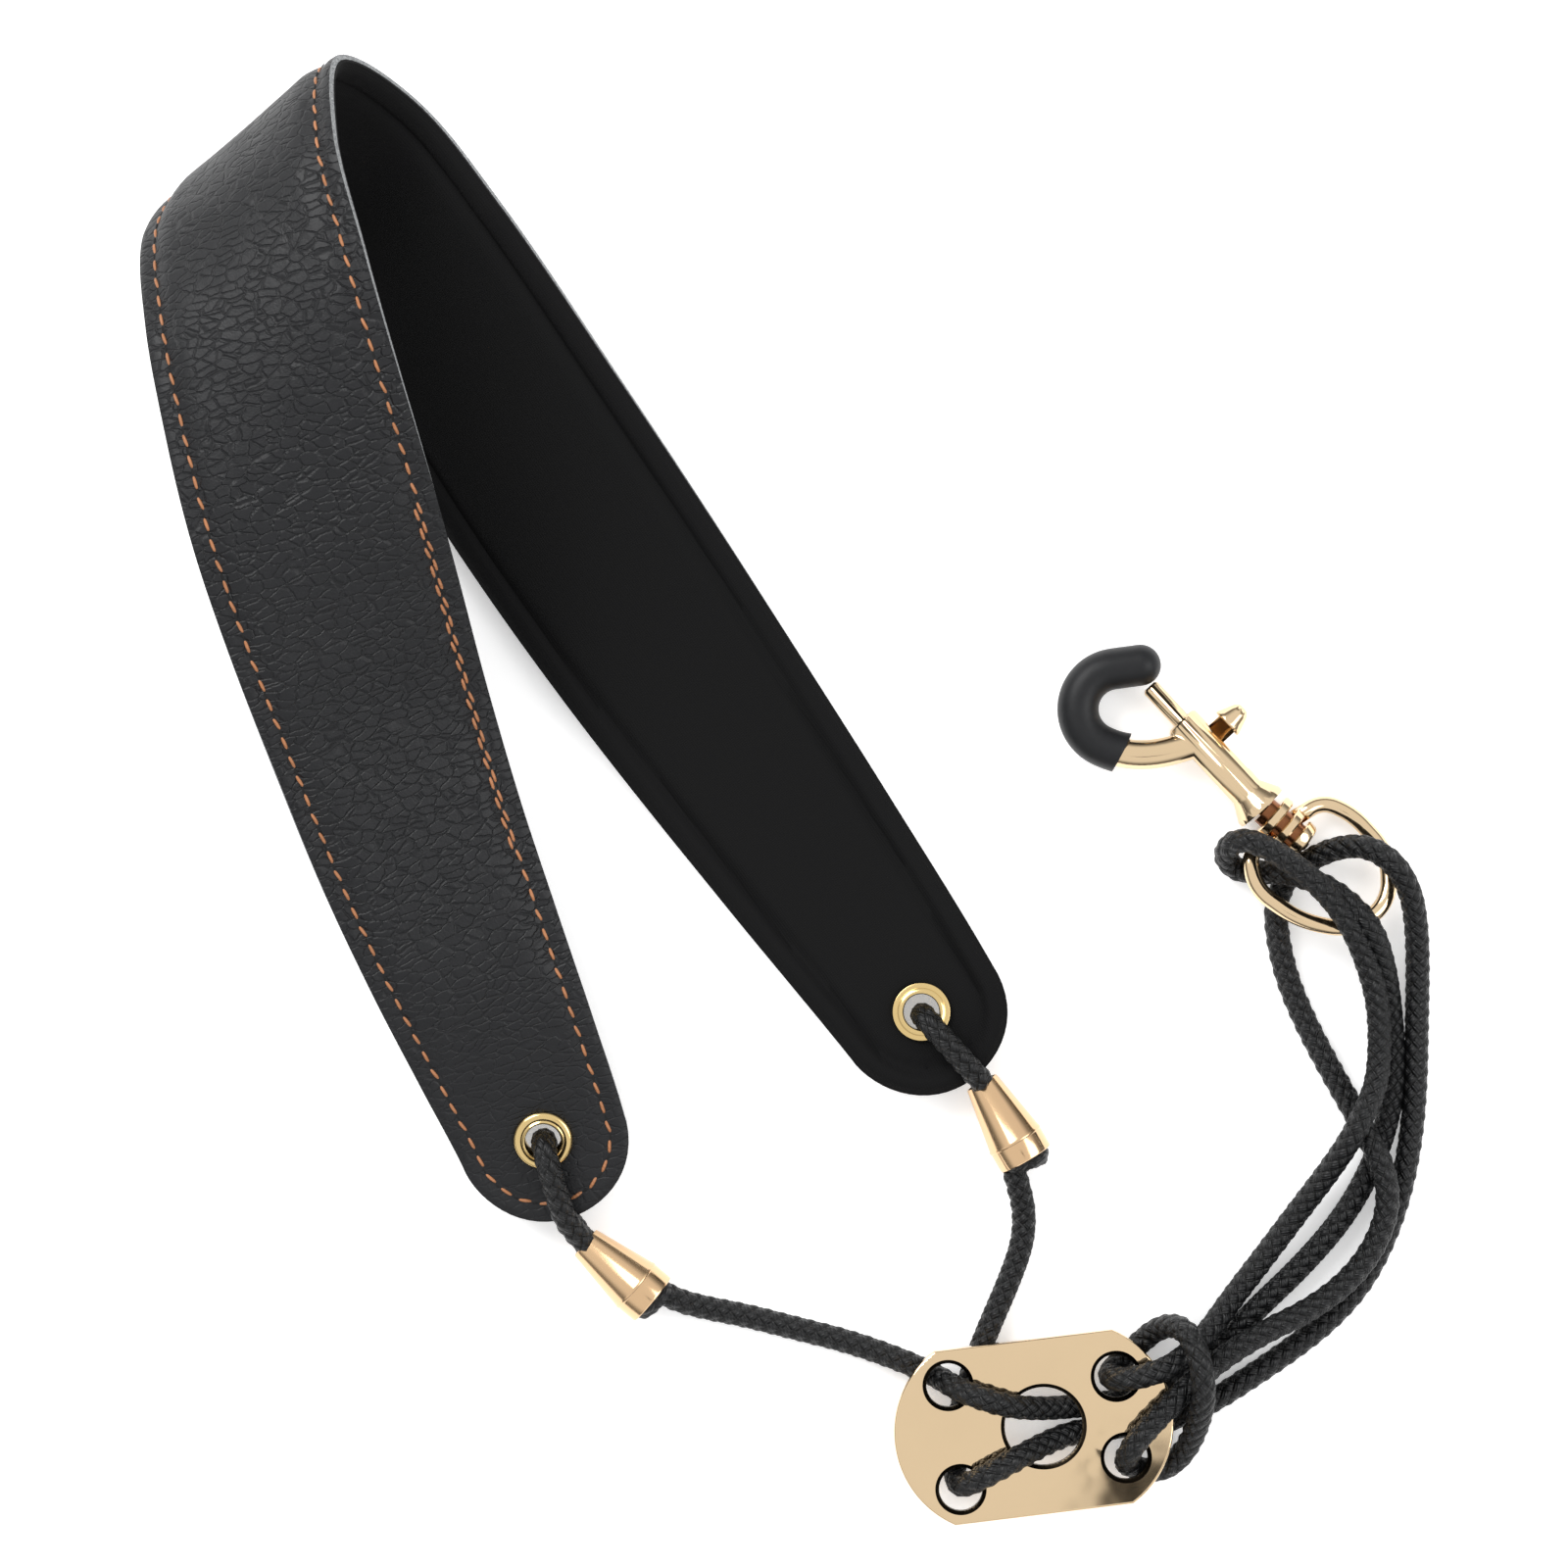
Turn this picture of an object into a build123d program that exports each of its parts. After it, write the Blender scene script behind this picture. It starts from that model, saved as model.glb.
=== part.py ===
"""Saxophone neck strap: a padded leather band, one continuous braided cord, a five-hole
adjuster plate and a sprung bolt hook on a swivel.  Millimetres, +Z up, laid out on a table."""

import math
import os

from build123d import *

# Neck band
BAND_WIDTH = 48.0
BAND_END_WIDTH = 34.4
BAND_TAPER_LENGTH = 140.0
BAND_TAPER_POWER = 1.6
LEATHER_THICKNESS = 1.6
FOAM_THICKNESS = 2.6
LINING_THICKNESS = 0.8
FOAM_INSET = 5.0
LINING_INSET = 0.4
FOAM_STOP = 28.0
FOAM_RAMP = 34.0
FOAM_END_GAP = 6.0
FOAM_GLUE_GAP = 0.08
LAYER_START = 0.2
SECTION_PITCH = 9.0

# Eyelets at the two ends of the band
EYELET_INSET = 17.4
EYELET_BORE_RADIUS = 3.6
EYELET_WALL = 0.6
EYELET_FLANGE_RADIUS = 5.9
EYELET_FLANGE_THICKNESS = 1.0
EYELET_ROLL_WIDTH = 0.7
EYELET_ROLL_THICKNESS = 0.5
EYELET_LEAD_IN = 0.5
EYELET_EDGE = (0.6, 0.8)
EYELET_HOLE_CLEARANCE = 0.1
WASHER_THICKNESS = 0.7
WASHER_EDGE = 0.4
EDGE_BREAK = 0.3

# Cord and the bell cones that cover its two knots
CORD_DIAMETER = 4.9
BELL_LENGTH = 18.0
BELL_NARROW_RADIUS = 3.55
BELL_MOUTH_RADIUS = 5.8
BELL_BAND_LENGTH = 4.4
BELL_WALL = 0.55
KNOT_CLEARANCE = 0.1
KNOT_BULGE = 2.2
KNOT_DOME = (0.8, 1.8)
KNOT_CROWN_RADIUS = 2.6
CORNER_SHARE = 0.45

# Adjuster plate
PLATE_LENGTH = 56.8
PLATE_WIDTH = 35.5
PLATE_END_RADIUS = 20.5
PLATE_THICKNESS = 3.0
PLATE_HEIGHT = CORD_DIAMETER + 0.4
PLATE_HOLE_RADIUS = 4.4
PLATE_CENTRE_HOLE_RADIUS = 7.9
PLATE_LEFT_HOLES = (-16.2, 10.6)
PLATE_RIGHT_HOLES = (17.8, 8.3)
PLATE_CENTRE_HOLE = (2.0, 0.0)
PLATE_BEVEL = 0.8
PLATE_RIM_FILLET = 0.5

# Bolt hook
BARREL_RADIUS = 3.6
BARREL_LENGTH = 24.3
FLARE_RADIUS = 5.6
FLARE_LENGTH = 4.6
FLARE_LIP = 1.0
BARREL_CHAMFER = 0.5
PIN_RADIUS = 1.85
PIN_CLEARANCE = 0.1
PIN_REACH = 9.4
PIN_TRAVEL = 7.0
GUIDE_LENGTH = 4.4
CHAMBER_RADIUS = 2.65
PISTON_RADIUS = 2.5
PISTON_LENGTH = 4.9
STEM_LENGTH = 4.4
STEM_THICKNESS = 2.2
SLOT_CLEARANCE = 0.3
STEM_KEY_DEPTH = 1.2
KNOB_START = 6.3
KNOB_HEIGHT = 4.7
KNOB_BASE_RADIUS = 3.2
KNOB_TIP_RADIUS = 1.9
KNOB_TIP_ROUND = 0.7
KNOB_RIM = 0.5
SPRING_WIRE_RADIUS = 0.22
SPRING_RADIUS = 2.15
SPRING_TURNS = 5
SPRING_END_GAP = 0.05
SEAT_THICKNESS = 0.6
SEAT_HOLE_RADIUS = 0.8
SEAT_TO_RIVET = 0.5
RIVET_CHAMBER_GAP = 0.4
HOOK_RADIUS = 8.2
HOOK_CENTRE = (-10.3, -7.7)
HOOK_WIRE_RADIUS = 3.0
HOOK_ARC_END = 145.0
HOOK_ARC_START = -69.8
ARM_ROOT = (5.1, -1.6)
ARM_HEADING = -113.0
HOOK_TIP_LENGTH = 5.6
SLEEVE_RADIUS = 4.2
SLEEVE_GAP = 0.05
SLEEVE_END = (-3.6, -12.6, 0)
SLEEVE_END_DIRECTION = (0.94, 0.34, 0)

# Swivel head and bow, measured from the barrel's flared mouth
SWIVEL_LEAN = 6.0
SHANK_RADIUS = 1.3
SHANK_HOLE_RADIUS = 2.0
RIVET_HEAD_RADIUS = 2.2
RIVET_HEAD_THICKNESS = 0.9
RIVET_HEAD_PLACE = BARREL_LENGTH - 3.1
HEAD_PROFILE = (
    (0.5, 3.0), (2.1, 3.0), (2.1, 5.2), (4.1, 5.2), (4.1, 3.2), (5.6, 3.2),
    (5.6, 4.9), (7.5, 4.9), (7.5, 3.1), (8.9, 3.1), (8.9, 4.5), (11.0, 4.2), (11.5, 3.2),
)
BOW_WIRE_RADIUS = 1.7
BOW_TILT = 12.0
BOW_POINTS = (
    (6.4, 3.0), (8.4, 9.6), (15.0, 11.6), (25.4, 10.4), (32.2, 2.6), (29.6, -7.2),
    (20.4, -12.6), (9.6, -13.6), (3.6, -8.8), (6.4, -3.0),
)

# Places on the table.  Origin: middle of the object's outline, at table level.
PLATE_PLACE = (51.6, -127.3)
PLATE_YAW = 7.0
HOOK_MOUTH_PLACE = (98.0106, -1.9296)
HOOK_YAW = -47.2
HOOK_HEIGHT = 5.65
LEFT_BELL_PLACE = (-39.3, -89.9, 6.6)
LEFT_BELL_YAW = -40.3
RIGHT_BELL_PLACE = (41.0, -57.4, 7.2)
RIGHT_BELL_YAW = -59.8

# Middle of the band from its left tip, over the bend and back to its right tip:
# x, y, z, then the turn and the tilt of its width in degrees.
BAND_LINE = (
    (-42.9, -85.0, 7.0, 16, 2), (-47.5, -69.0, 9.8, 16, 2), (-55.0, -50.0, 15.5, 19, 0),
    (-63.5, -29.0, 21.5, 21, -6), (-71.5, -8.0, 26.5, 22, -11), (-78.5, 13.5, 33.0, 22, -13),
    (-84.5, 34.0, 42.0, 20, -9), (-90.0, 54.0, 50.0, 17, -2), (-95.5, 75.5, 53.5, 16, 9),
    (-101.0, 98.0, 51.5, 18, 17), (-105.0, 119.0, 43.0, 25, 25), (-102.0, 132.0, 27.5, 38, 28),
    (-87.5, 123.5, 14.5, 41, 26), (-73.0, 105.0, 13.5, 40, 24), (-48.5, 67.0, 9.5, 37, 14),
    (-22.5, 29.0, 6.5, 35, 5), (5.0, -9.5, 5.2, 35, 1), (28.8, -43.0, 8.6, 33, 2),
    (37.7, -58.0, 7.6, 31, 2),
)

# Cord routes.  The cord is limp and lies on the table except where it crosses itself.
# They were laid out for this cord and these bells, and follow both when they change.
ROUTE_CORD_DIAMETER = 4.9
ROUTE_BELL_LENGTH = 18.0
LEFT_LOOP = (
    (-40.4, -88.9, 9.4), (-42.9, -86.0, 11.0), (-44.7, -79.8, 13.3), (-46.2, -74.2, 15.9),
    (-47.5, -69.2, 15.6), (-47.6, -68.7, 6.9), (-46.3, -74.2, 3.1), (-44.7, -79.9, 2.8),
    (-42.9, -86.0, 2.9), (-40.4, -88.9, 4.0),
)
RIGHT_LOOP = (
    (41.2, -57.4, 10.0), (37.2, -52.8, 12.2), (32.8, -48.0, 13.8), (29.1, -43.8, 13.7),
    (28.9, -43.6, 5.3), (32.3, -47.3, 2.8), (36.9, -52.6, 2.7), (41.2, -57.4, 4.6),
)
LEFT_LEAD = (
    (-25.0, -99.4, 6.6), (-21.2, -101.6, 5.8), (-15.6, -103.4, 3.4), (-6.6, -105.2, 2.6),
    (3.4, -107.8, 2.5), (14.0, -110.4, 2.6), (24.8, -114.2, 2.5), (32.4, -117.6, 3.0),
    (35.0, -118.8, 8.6),
    (39.6, -120.5, 12.1), (46.4, -122.6, 11.6), (52.8, -123.6, 7.0), (58.4, -123.8, 2.8),
    (64.2, -123.3, 2.5), (70.1, -122.3, 2.6),
)
UPPER_BIGHT = (
    (70.1, -122.3, 2.6), (80.4, -119.6, 2.5), (88.4, -112.9, 2.6), (97.0, -104.0, 2.5),
    (107.0, -94.5, 2.6), (115.4, -84.6, 2.6), (121.2, -74.0, 2.5), (124.6, -63.0, 2.6),
    (125.2, -52.0, 2.5), (124.4, -42.0, 2.9), (122.8, -34.0, 6.4), (119.8, -26.2, 11.7),
    (114.6, -20.4, 11.9), (108.6, -16.6, 10.0), (102.8, -14.9, 8.4), (97.4, -15.0, 3.8),
    (93.4, -14.6, 2.6), (90.6, -12.4, 4.6), (90.7, -9.4, 9.2), (93.8, -8.0, 12.8),
    (98.8, -10.0, 13.6), (104.6, -13.8, 14.2), (110.4, -19.0, 13.8), (115.2, -25.4, 12.6),
    (118.6, -32.2, 9.4), (121.4, -41.0, 7.2), (121.8, -50.0, 7.2), (120.8, -57.6, 9.8),
    (118.2, -63.2, 11.3), (115.2, -69.4, 9.8), (110.8, -76.6, 5.8), (105.6, -84.0, 2.9),
    (98.6, -93.4, 2.6), (92.0, -101.8, 3.4), (86.6, -108.6, 7.4), (80.2, -114.2, 11.0),
    (73.4, -116.6, 12.0), (67.8, -117.3, 11.0), (66.8, -117.1, 4.0), (69.4, -114.4, 2.6),
    (73.2, -111.0, 2.6),
)
WRAP = (
    (73.2, -111.0, 2.6), (76.6, -107.8, 3.8), (80.2, -106.2, 9.0), (83.0, -108.2, 14.6),
    (84.8, -113.6, 17.0), (85.6, -120.0, 15.0), (84.8, -126.4, 9.0), (82.8, -132.4, 3.6),
    (79.2, -136.2, 2.5), (75.0, -136.8, 2.6),
)
LOWER_BIGHT = (
    (75.0, -136.8, 2.6), (71.4, -135.8, 2.5), (69.9, -134.0, 8.4), (71.8, -129.8, 12.0),
    (77.2, -123.9, 11.6), (83.2, -118.2, 10.0), (90.6, -112.6, 7.8), (98.6, -107.8, 7.5),
    (107.0, -103.8, 7.6), (114.6, -98.4, 7.6), (120.2, -91.6, 7.5), (123.4, -83.6, 7.6),
    (123.0, -76.0, 7.7), (119.6, -68.8, 7.0), (115.4, -60.8, 3.4), (110.8, -52.6, 2.6),
    (106.6, -44.4, 2.6), (103.4, -36.6, 2.5), (101.5, -28.6, 2.6), (101.0, -21.8, 2.5),
    (103.0, -16.2, 2.6), (107.8, -12.4, 3.4), (113.2, -9.8, 6.8), (118.6, -9.4, 10.4),
    (124.0, -12.6, 11.4), (127.8, -18.6, 9.2), (129.6, -26.4, 4.4), (130.0, -35.6, 2.5),
    (129.8, -46.0, 2.5), (129.6, -57.0, 2.6), (128.8, -68.0, 2.5), (126.8, -79.0, 2.6),
    (123.4, -89.4, 2.5), (118.6, -98.6, 2.6), (112.0, -106.0, 2.5), (104.6, -111.8, 2.6),
    (96.4, -117.4, 2.5), (88.0, -122.8, 2.6), (79.6, -126.6, 2.5), (70.8, -127.7, 2.6),
)
RIGHT_LEAD = (
    (70.8, -127.7, 2.6), (64.6, -128.2, 2.5), (58.8, -129.2, 2.8), (53.2, -131.0, 7.0),
    (47.4, -133.4, 11.6), (41.4, -136.6, 12.2), (37.0, -139.2, 9.0), (35.8, -138.4, 2.9),
    (35.6, -131.0, 2.5), (37.4, -122.4, 2.6), (40.0, -114.4, 2.5), (43.2, -106.4, 2.6),
    (46.8, -98.2, 2.5), (49.6, -90.4, 2.6), (49.9, -84.0, 3.4), (48.7, -79.0, 5.8),
    (47.5, -74.8, 6.9),
)


def inside(plane, origin=(0, 0, 0), x_dir=(1, 0, 0), z_dir=(0, 0, 1)):
    """Plane given in another plane's own coordinates."""
    return Plane(plane.location * Plane(origin=origin, x_dir=x_dir, z_dir=z_dir).location)


def revolved(points, plane):
    """Turn a closed profile of (along, radius) points about the plane's X axis."""
    profile = make_face(Polyline(*[(x, r, 0) for x, r in points], close=True))
    return plane * revolve(profile, axis=Axis.X)


def rod(plane, start, end, radius):
    """Round bar along the plane's X axis."""
    return revolved(((start, 0), (start, radius), (end, radius), (end, 0)), plane)


# Neck band

def smooth_line(stations):
    """Hermite curve through the stations, as a function of the distance between them."""
    distance = [0.0]
    for a, b in zip(stations, stations[1:]):
        distance.append(distance[-1] + math.dist(a[:3], b[:3]))

    def slope(i, k):
        low, high = max(i - 1, 0), min(i + 1, len(stations) - 1)
        return (stations[high][k] - stations[low][k]) / (distance[high] - distance[low])

    def at(s):
        i = max(j for j in range(len(stations) - 1) if distance[j] <= s or j == 0)
        span = distance[i + 1] - distance[i]
        u = min(max((s - distance[i]) / span, 0.0), 1.0)
        a, b = (2 * u - 3) * u * u + 1, ((u - 2) * u + 1) * u * span
        c, d = (3 - 2 * u) * u * u, (u - 1) * u * u * span
        return [
            a * stations[i][k] + b * slope(i, k) + c * stations[i + 1][k] + d * slope(i + 1, k)
            for k in range(5)
        ]

    return at, distance[-1]


BAND_AT, BAND_LENGTH = smooth_line(BAND_LINE)


def band_plane(s):
    """Plane at distance s along the band: X along it, Y across it, Z out of the leather."""
    x, y, z, yaw, tilt = BAND_AT(s)
    ahead, behind = BAND_AT(min(s + 0.5, BAND_LENGTH)), BAND_AT(max(s - 0.5, 0.0))
    along = Vector(*ahead[:3]) - Vector(*behind[:3])
    yaw, tilt = math.radians(yaw), math.radians(tilt)
    across = Vector(math.cos(yaw) * math.cos(tilt), math.sin(yaw) * math.cos(tilt), math.sin(tilt))
    outward = across.cross(along)
    return Plane(origin=(x, y, z), x_dir=along, z_dir=outward)


def from_tip(s):
    return min(s, BAND_LENGTH - s)


def band_width(s):
    taper = (BAND_TAPER_LENGTH + EYELET_INSET - from_tip(s)) / BAND_TAPER_LENGTH
    taper = min(max(taper, 0.0), 1.0)
    return BAND_WIDTH - (BAND_WIDTH - BAND_END_WIDTH) * taper**BAND_TAPER_POWER


def foam_height(s):
    u = min(max((from_tip(s) - FOAM_STOP) / FOAM_RAMP, 0.0), 1.0)
    return FOAM_THICKNESS * u * u * (3 - 2 * u)


def band_layer(start, inset, bottom, top):
    """Layer of the band between two heights, both functions of the distance along it."""
    count = math.ceil((BAND_LENGTH - 2 * start) / SECTION_PITCH)
    sections = []
    for i in range(count + 1):
        s = start + (BAND_LENGTH - 2 * start) * i / count
        half = band_width(s) / 2 - inset
        corners = ((-half, bottom(s)), (half, bottom(s)), (half, top(s)), (-half, top(s)))
        plane = band_plane(s)
        sections.append(
            Wire.make_polygon([plane.from_local_coords((0, y, z)) for y, z in corners])
        )
    return Solid.make_loft(sections, ruled=True)


def eyelet_plane(side):
    """Plane of an eyelet: X towards the nearer tip, Z out of the leather."""
    s = EYELET_INSET if side == "left" else BAND_LENGTH - EYELET_INSET
    plane = band_plane(s)
    return plane if side == "right" else inside(plane, x_dir=(-1, 0, 0))


def tip_cutter(side, inset):
    """What is cut from the band's end: all that lies outside its rounded tip, and the eyelet."""
    reach, depth = 2 * BAND_END_WIDTH, BAND_END_WIDTH / 2
    outside = Pos(reach / 2, 0, 0) * Box(reach, 2 * BAND_WIDTH, depth)
    outside -= Cylinder(BAND_END_WIDTH / 2 - inset, 2 * depth)
    hole = Cylinder(EYELET_BORE_RADIUS + EYELET_WALL + EYELET_HOLE_CLEARANCE, depth)
    return eyelet_plane(side) * (outside + hole)


def finished_layer(inset, bottom, top):
    layer = band_layer(LAYER_START, inset, bottom, top)
    for side in ("left", "right"):
        layer = layer - tip_cutter(side, inset)
    return layer


def leather_face():
    return finished_layer(
        0.0,
        lambda s: foam_height(s) / 2,
        lambda s: foam_height(s) / 2 + LEATHER_THICKNESS,
    )


def lining():
    return finished_layer(
        LINING_INSET,
        lambda s: -foam_height(s) / 2 - LINING_THICKNESS,
        lambda s: -foam_height(s) / 2,
    )


def foam_pad():
    return band_layer(
        FOAM_STOP + FOAM_END_GAP,
        FOAM_INSET,
        lambda s: FOAM_GLUE_GAP - foam_height(s) / 2,
        lambda s: foam_height(s) / 2 - FOAM_GLUE_GAP,
    )


def eyelet_axis_plane(side):
    """Plane of an eyelet whose X is the eyelet's own axis, out of the leather."""
    return inside(eyelet_plane(side), x_dir=(0, 0, 1), z_dir=(0, -1, 0))


def eyelet(side):
    """Flanged tube set from the leather side and rolled over the washer."""
    inner, outer = EYELET_BORE_RADIUS, EYELET_BORE_RADIUS + EYELET_WALL
    top = LEATHER_THICKNESS + EYELET_FLANGE_THICKNESS
    seat = -LINING_THICKNESS - WASHER_THICKNESS
    roll = seat - EYELET_ROLL_THICKNESS
    down, back = EYELET_EDGE
    points = (
        (top, inner + EYELET_LEAD_IN), (top, EYELET_FLANGE_RADIUS - back),
        (top - down, EYELET_FLANGE_RADIUS), (LEATHER_THICKNESS, EYELET_FLANGE_RADIUS),
        (LEATHER_THICKNESS, outer), (seat, outer), (seat, outer + EYELET_ROLL_WIDTH),
        (roll, outer + EYELET_ROLL_WIDTH - EDGE_BREAK), (roll, inner + EDGE_BREAK), (seat, inner),
        (top - EYELET_LEAD_IN, inner),
    )
    return revolved(points, eyelet_axis_plane(side))


def eyelet_washer(side):
    inner = EYELET_BORE_RADIUS + EYELET_WALL
    low = -LINING_THICKNESS - WASHER_THICKNESS
    points = (
        (-LINING_THICKNESS, inner), (-LINING_THICKNESS, EYELET_FLANGE_RADIUS),
        (low + EDGE_BREAK, EYELET_FLANGE_RADIUS), (low, EYELET_FLANGE_RADIUS - WASHER_EDGE),
        (low, inner),
    )
    return revolved(points, eyelet_axis_plane(side))


# Cord, its bell cones and knots

def turned(place, yaw):
    """Plane at a place, with X turned by yaw about the vertical."""
    return Plane(origin=place, x_dir=(math.cos(math.radians(yaw)), math.sin(math.radians(yaw)), 0))


LEFT_BELL = turned(LEFT_BELL_PLACE, LEFT_BELL_YAW)
RIGHT_BELL = turned(RIGHT_BELL_PLACE, RIGHT_BELL_YAW)


def bell(plane):
    """Open cone: narrow end at the plane's origin, flaring to a short straight band."""
    flare = BELL_LENGTH - BELL_BAND_LENGTH
    outer = (
        (0, BELL_NARROW_RADIUS), (flare, BELL_MOUTH_RADIUS), (BELL_LENGTH, BELL_MOUTH_RADIUS),
    )
    inner = [(x, r - BELL_WALL) for x, r in reversed(outer)]
    return revolved((*outer, *inner), plane)


def stopper_knot(plane):
    """Knotted cord that fills the cone and bulges out of its mouth."""
    flare = BELL_LENGTH - BELL_BAND_LENGTH
    gap = BELL_WALL + KNOT_CLEARANCE
    bulge = BELL_LENGTH + KNOT_BULGE
    down, back = KNOT_DOME
    points = (
        (KNOT_CLEARANCE, 0), (KNOT_CLEARANCE, BELL_NARROW_RADIUS - gap),
        (flare, BELL_MOUTH_RADIUS - gap), (BELL_LENGTH, BELL_MOUTH_RADIUS - gap),
        (bulge - down, BELL_MOUTH_RADIUS - back), (bulge, KNOT_CROWN_RADIUS), (bulge, 0),
    )
    return revolved(points, plane)


def corner_radii(points):
    """Largest tangent arc for each corner of a route."""
    radii = []
    for a, b, c in zip(points, points[1:], points[2:]):
        before, after = Vector(*b) - Vector(*a), Vector(*c) - Vector(*b)
        half_turn = math.radians(before.get_angle(after)) / 2
        radii.append(CORNER_SHARE * min(before.length, after.length) / math.tan(half_turn))
    return radii


def from_bell(point, plane):
    """Point of a route that keeps its place in a bell's mouth when the bell's length changes."""
    return tuple(Vector(*point) + plane.x_dir * (BELL_LENGTH - ROUTE_BELL_LENGTH))


def stacked(route):
    """Route whose heights above the table follow the cord's thickness."""
    return [(x, y, z * CORD_DIAMETER / ROUTE_CORD_DIAMETER) for x, y, z in route]


def cord(name, points):
    """Round cord along a route of straight runs joined by tangent arcs."""
    radii = corner_radii(points)
    path = FilletPolyline(*points, radius=radii)
    start = Plane(origin=path @ 0, z_dir=path % 0)
    tube = sweep(start * Circle(CORD_DIAMETER / 2), path=path)
    section = math.pi * CORD_DIAMETER**2 / 4
    ratio = tube.volume / (section * path.length)
    print(name, "length", round(path.length, 1), "volume ratio", round(ratio, 4))
    print("   radii", [round(r, 1) for r in radii])
    return tube


# Adjuster plate

def adjuster_plate():
    """Flat plate with two straight sides, rounded ends and five rounded holes."""
    straight = Rectangle(PLATE_LENGTH + 2, PLATE_WIDTH)
    shift = PLATE_LENGTH / 2 - PLATE_END_RADIUS
    ends = Pos(-shift, 0) * Circle(PLATE_END_RADIUS) + Pos(shift, 0) * Circle(PLATE_END_RADIUS)
    middle = Rectangle(2 * shift, 2 * PLATE_END_RADIUS)
    outline = straight & (ends + middle)
    plate = extrude(outline, PLATE_THICKNESS)
    rims = plate.edges().filter_by(Axis.Z, reverse=True)
    plate = fillet(rims, PLATE_RIM_FILLET)
    holes = [(PLATE_CENTRE_HOLE, PLATE_CENTRE_HOLE_RADIUS)]
    for x, y in (PLATE_LEFT_HOLES, PLATE_RIGHT_HOLES):
        holes += [((x, y), PLATE_HOLE_RADIUS), ((x, -y), PLATE_HOLE_RADIUS)]
    for (x, y), radius in holes:
        wide = radius + PLATE_BEVEL
        profile = (
            (-1, 0), (-1, wide + 1), (PLATE_BEVEL, radius), (PLATE_THICKNESS - PLATE_BEVEL, radius),
            (PLATE_THICKNESS + 1, wide + 1), (PLATE_THICKNESS + 1, 0),
        )
        plate -= revolved(profile, Plane(origin=(x, y, 0), x_dir=(0, 0, 1), z_dir=(0, -1, 0)))
    return turned((*PLATE_PLACE, PLATE_HEIGHT), PLATE_YAW) * plate


# Bolt hook: local X runs down the barrel from its front end to its flared mouth

HOOK = inside(turned((*HOOK_MOUTH_PLACE, HOOK_HEIGHT), HOOK_YAW), origin=(-BARREL_LENGTH, 0, 0))
PISTON_START = GUIDE_LENGTH
PISTON_END = PISTON_START + PISTON_LENGTH
SEAT_END = RIVET_HEAD_PLACE - RIVET_HEAD_THICKNESS - SEAT_TO_RIVET
SEAT_START = SEAT_END - SEAT_THICKNESS
CHAMBER_END = RIVET_HEAD_PLACE + RIVET_CHAMBER_GAP
SLOT_HALF = STEM_THICKNESS / 2 + SLOT_CLEARANCE
SLOT_START = PISTON_START + (PISTON_LENGTH - STEM_LENGTH) / 2 - SLOT_CLEARANCE
SLOT_END = SLOT_START + STEM_LENGTH + PIN_TRAVEL + 2 * SLOT_CLEARANCE


def arm_path(tip_length):
    """Centre line of the hook's arm: out of the barrel, round the hook and up to its tip."""
    arc = CenterArc(HOOK_CENTRE, HOOK_RADIUS, HOOK_ARC_START, HOOK_ARC_END - 360 - HOOK_ARC_START)
    heading = math.radians(ARM_HEADING)
    arm = Spline(ARM_ROOT, arc @ 0, tangents=((math.cos(heading), math.sin(heading)), arc % 0))
    tip = Line(arc @ 1, (arc @ 1) + (arc % 1) * tip_length)
    return arm + arc + tip


def swept(path, radius):
    return sweep(Plane(origin=path @ 0, z_dir=path % 0) * Circle(radius), path=path)


def hook_body():
    """Barrel, arm and hook in one casting, bored for the plunger and slotted for its knob."""
    flare_start = BARREL_LENGTH - FLARE_LENGTH
    barrel = (
        (0, 0), (0, BARREL_RADIUS - BARREL_CHAMFER), (BARREL_CHAMFER, BARREL_RADIUS),
        (flare_start, BARREL_RADIUS), (BARREL_LENGTH - FLARE_LIP, FLARE_RADIUS),
        (BARREL_LENGTH, FLARE_RADIUS), (BARREL_LENGTH, 0),
    )
    body = revolved(barrel, Plane.XY)
    arm = arm_path(HOOK_TIP_LENGTH)
    body += swept(arm, HOOK_WIRE_RADIUS)
    body += Pos(*(arm @ 1)) * Sphere(HOOK_WIRE_RADIUS)
    body -= rod(Plane.XY, -1.0, BARREL_LENGTH + 1, PIN_RADIUS + PIN_CLEARANCE)
    body -= rod(Plane.XY, PISTON_START - PIN_CLEARANCE, CHAMBER_END, CHAMBER_RADIUS)
    body -= rod(Plane.XY, CHAMBER_END, BARREL_LENGTH + 1, SHANK_HOLE_RADIUS)
    slot = Box(SLOT_END - SLOT_START, 2 * BARREL_RADIUS, 2 * SLOT_HALF)
    body -= Pos((SLOT_START + SLOT_END) / 2, BARREL_RADIUS, 0) * slot
    return HOOK * body


def hook_sleeve():
    """Rubber tube with a closed, domed end, pushed over the hook."""
    cover = arm_path(HOOK_TIP_LENGTH)
    sleeve = swept(cover, SLEEVE_RADIUS) + Pos(*(cover @ 1)) * Sphere(SLEEVE_RADIUS)
    bore = HOOK_WIRE_RADIUS + SLEEVE_GAP
    sleeve -= swept(cover, bore) + Pos(*(cover @ 1)) * Sphere(bore)
    reach = 4 * SLEEVE_RADIUS
    cut = Plane(origin=SLEEVE_END, x_dir=Vector(*SLEEVE_END_DIRECTION))
    sleeve -= cut * (Pos(reach / 2, reach / 4, 0) * Box(reach, 2 * reach, reach))
    return HOOK * sleeve


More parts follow.
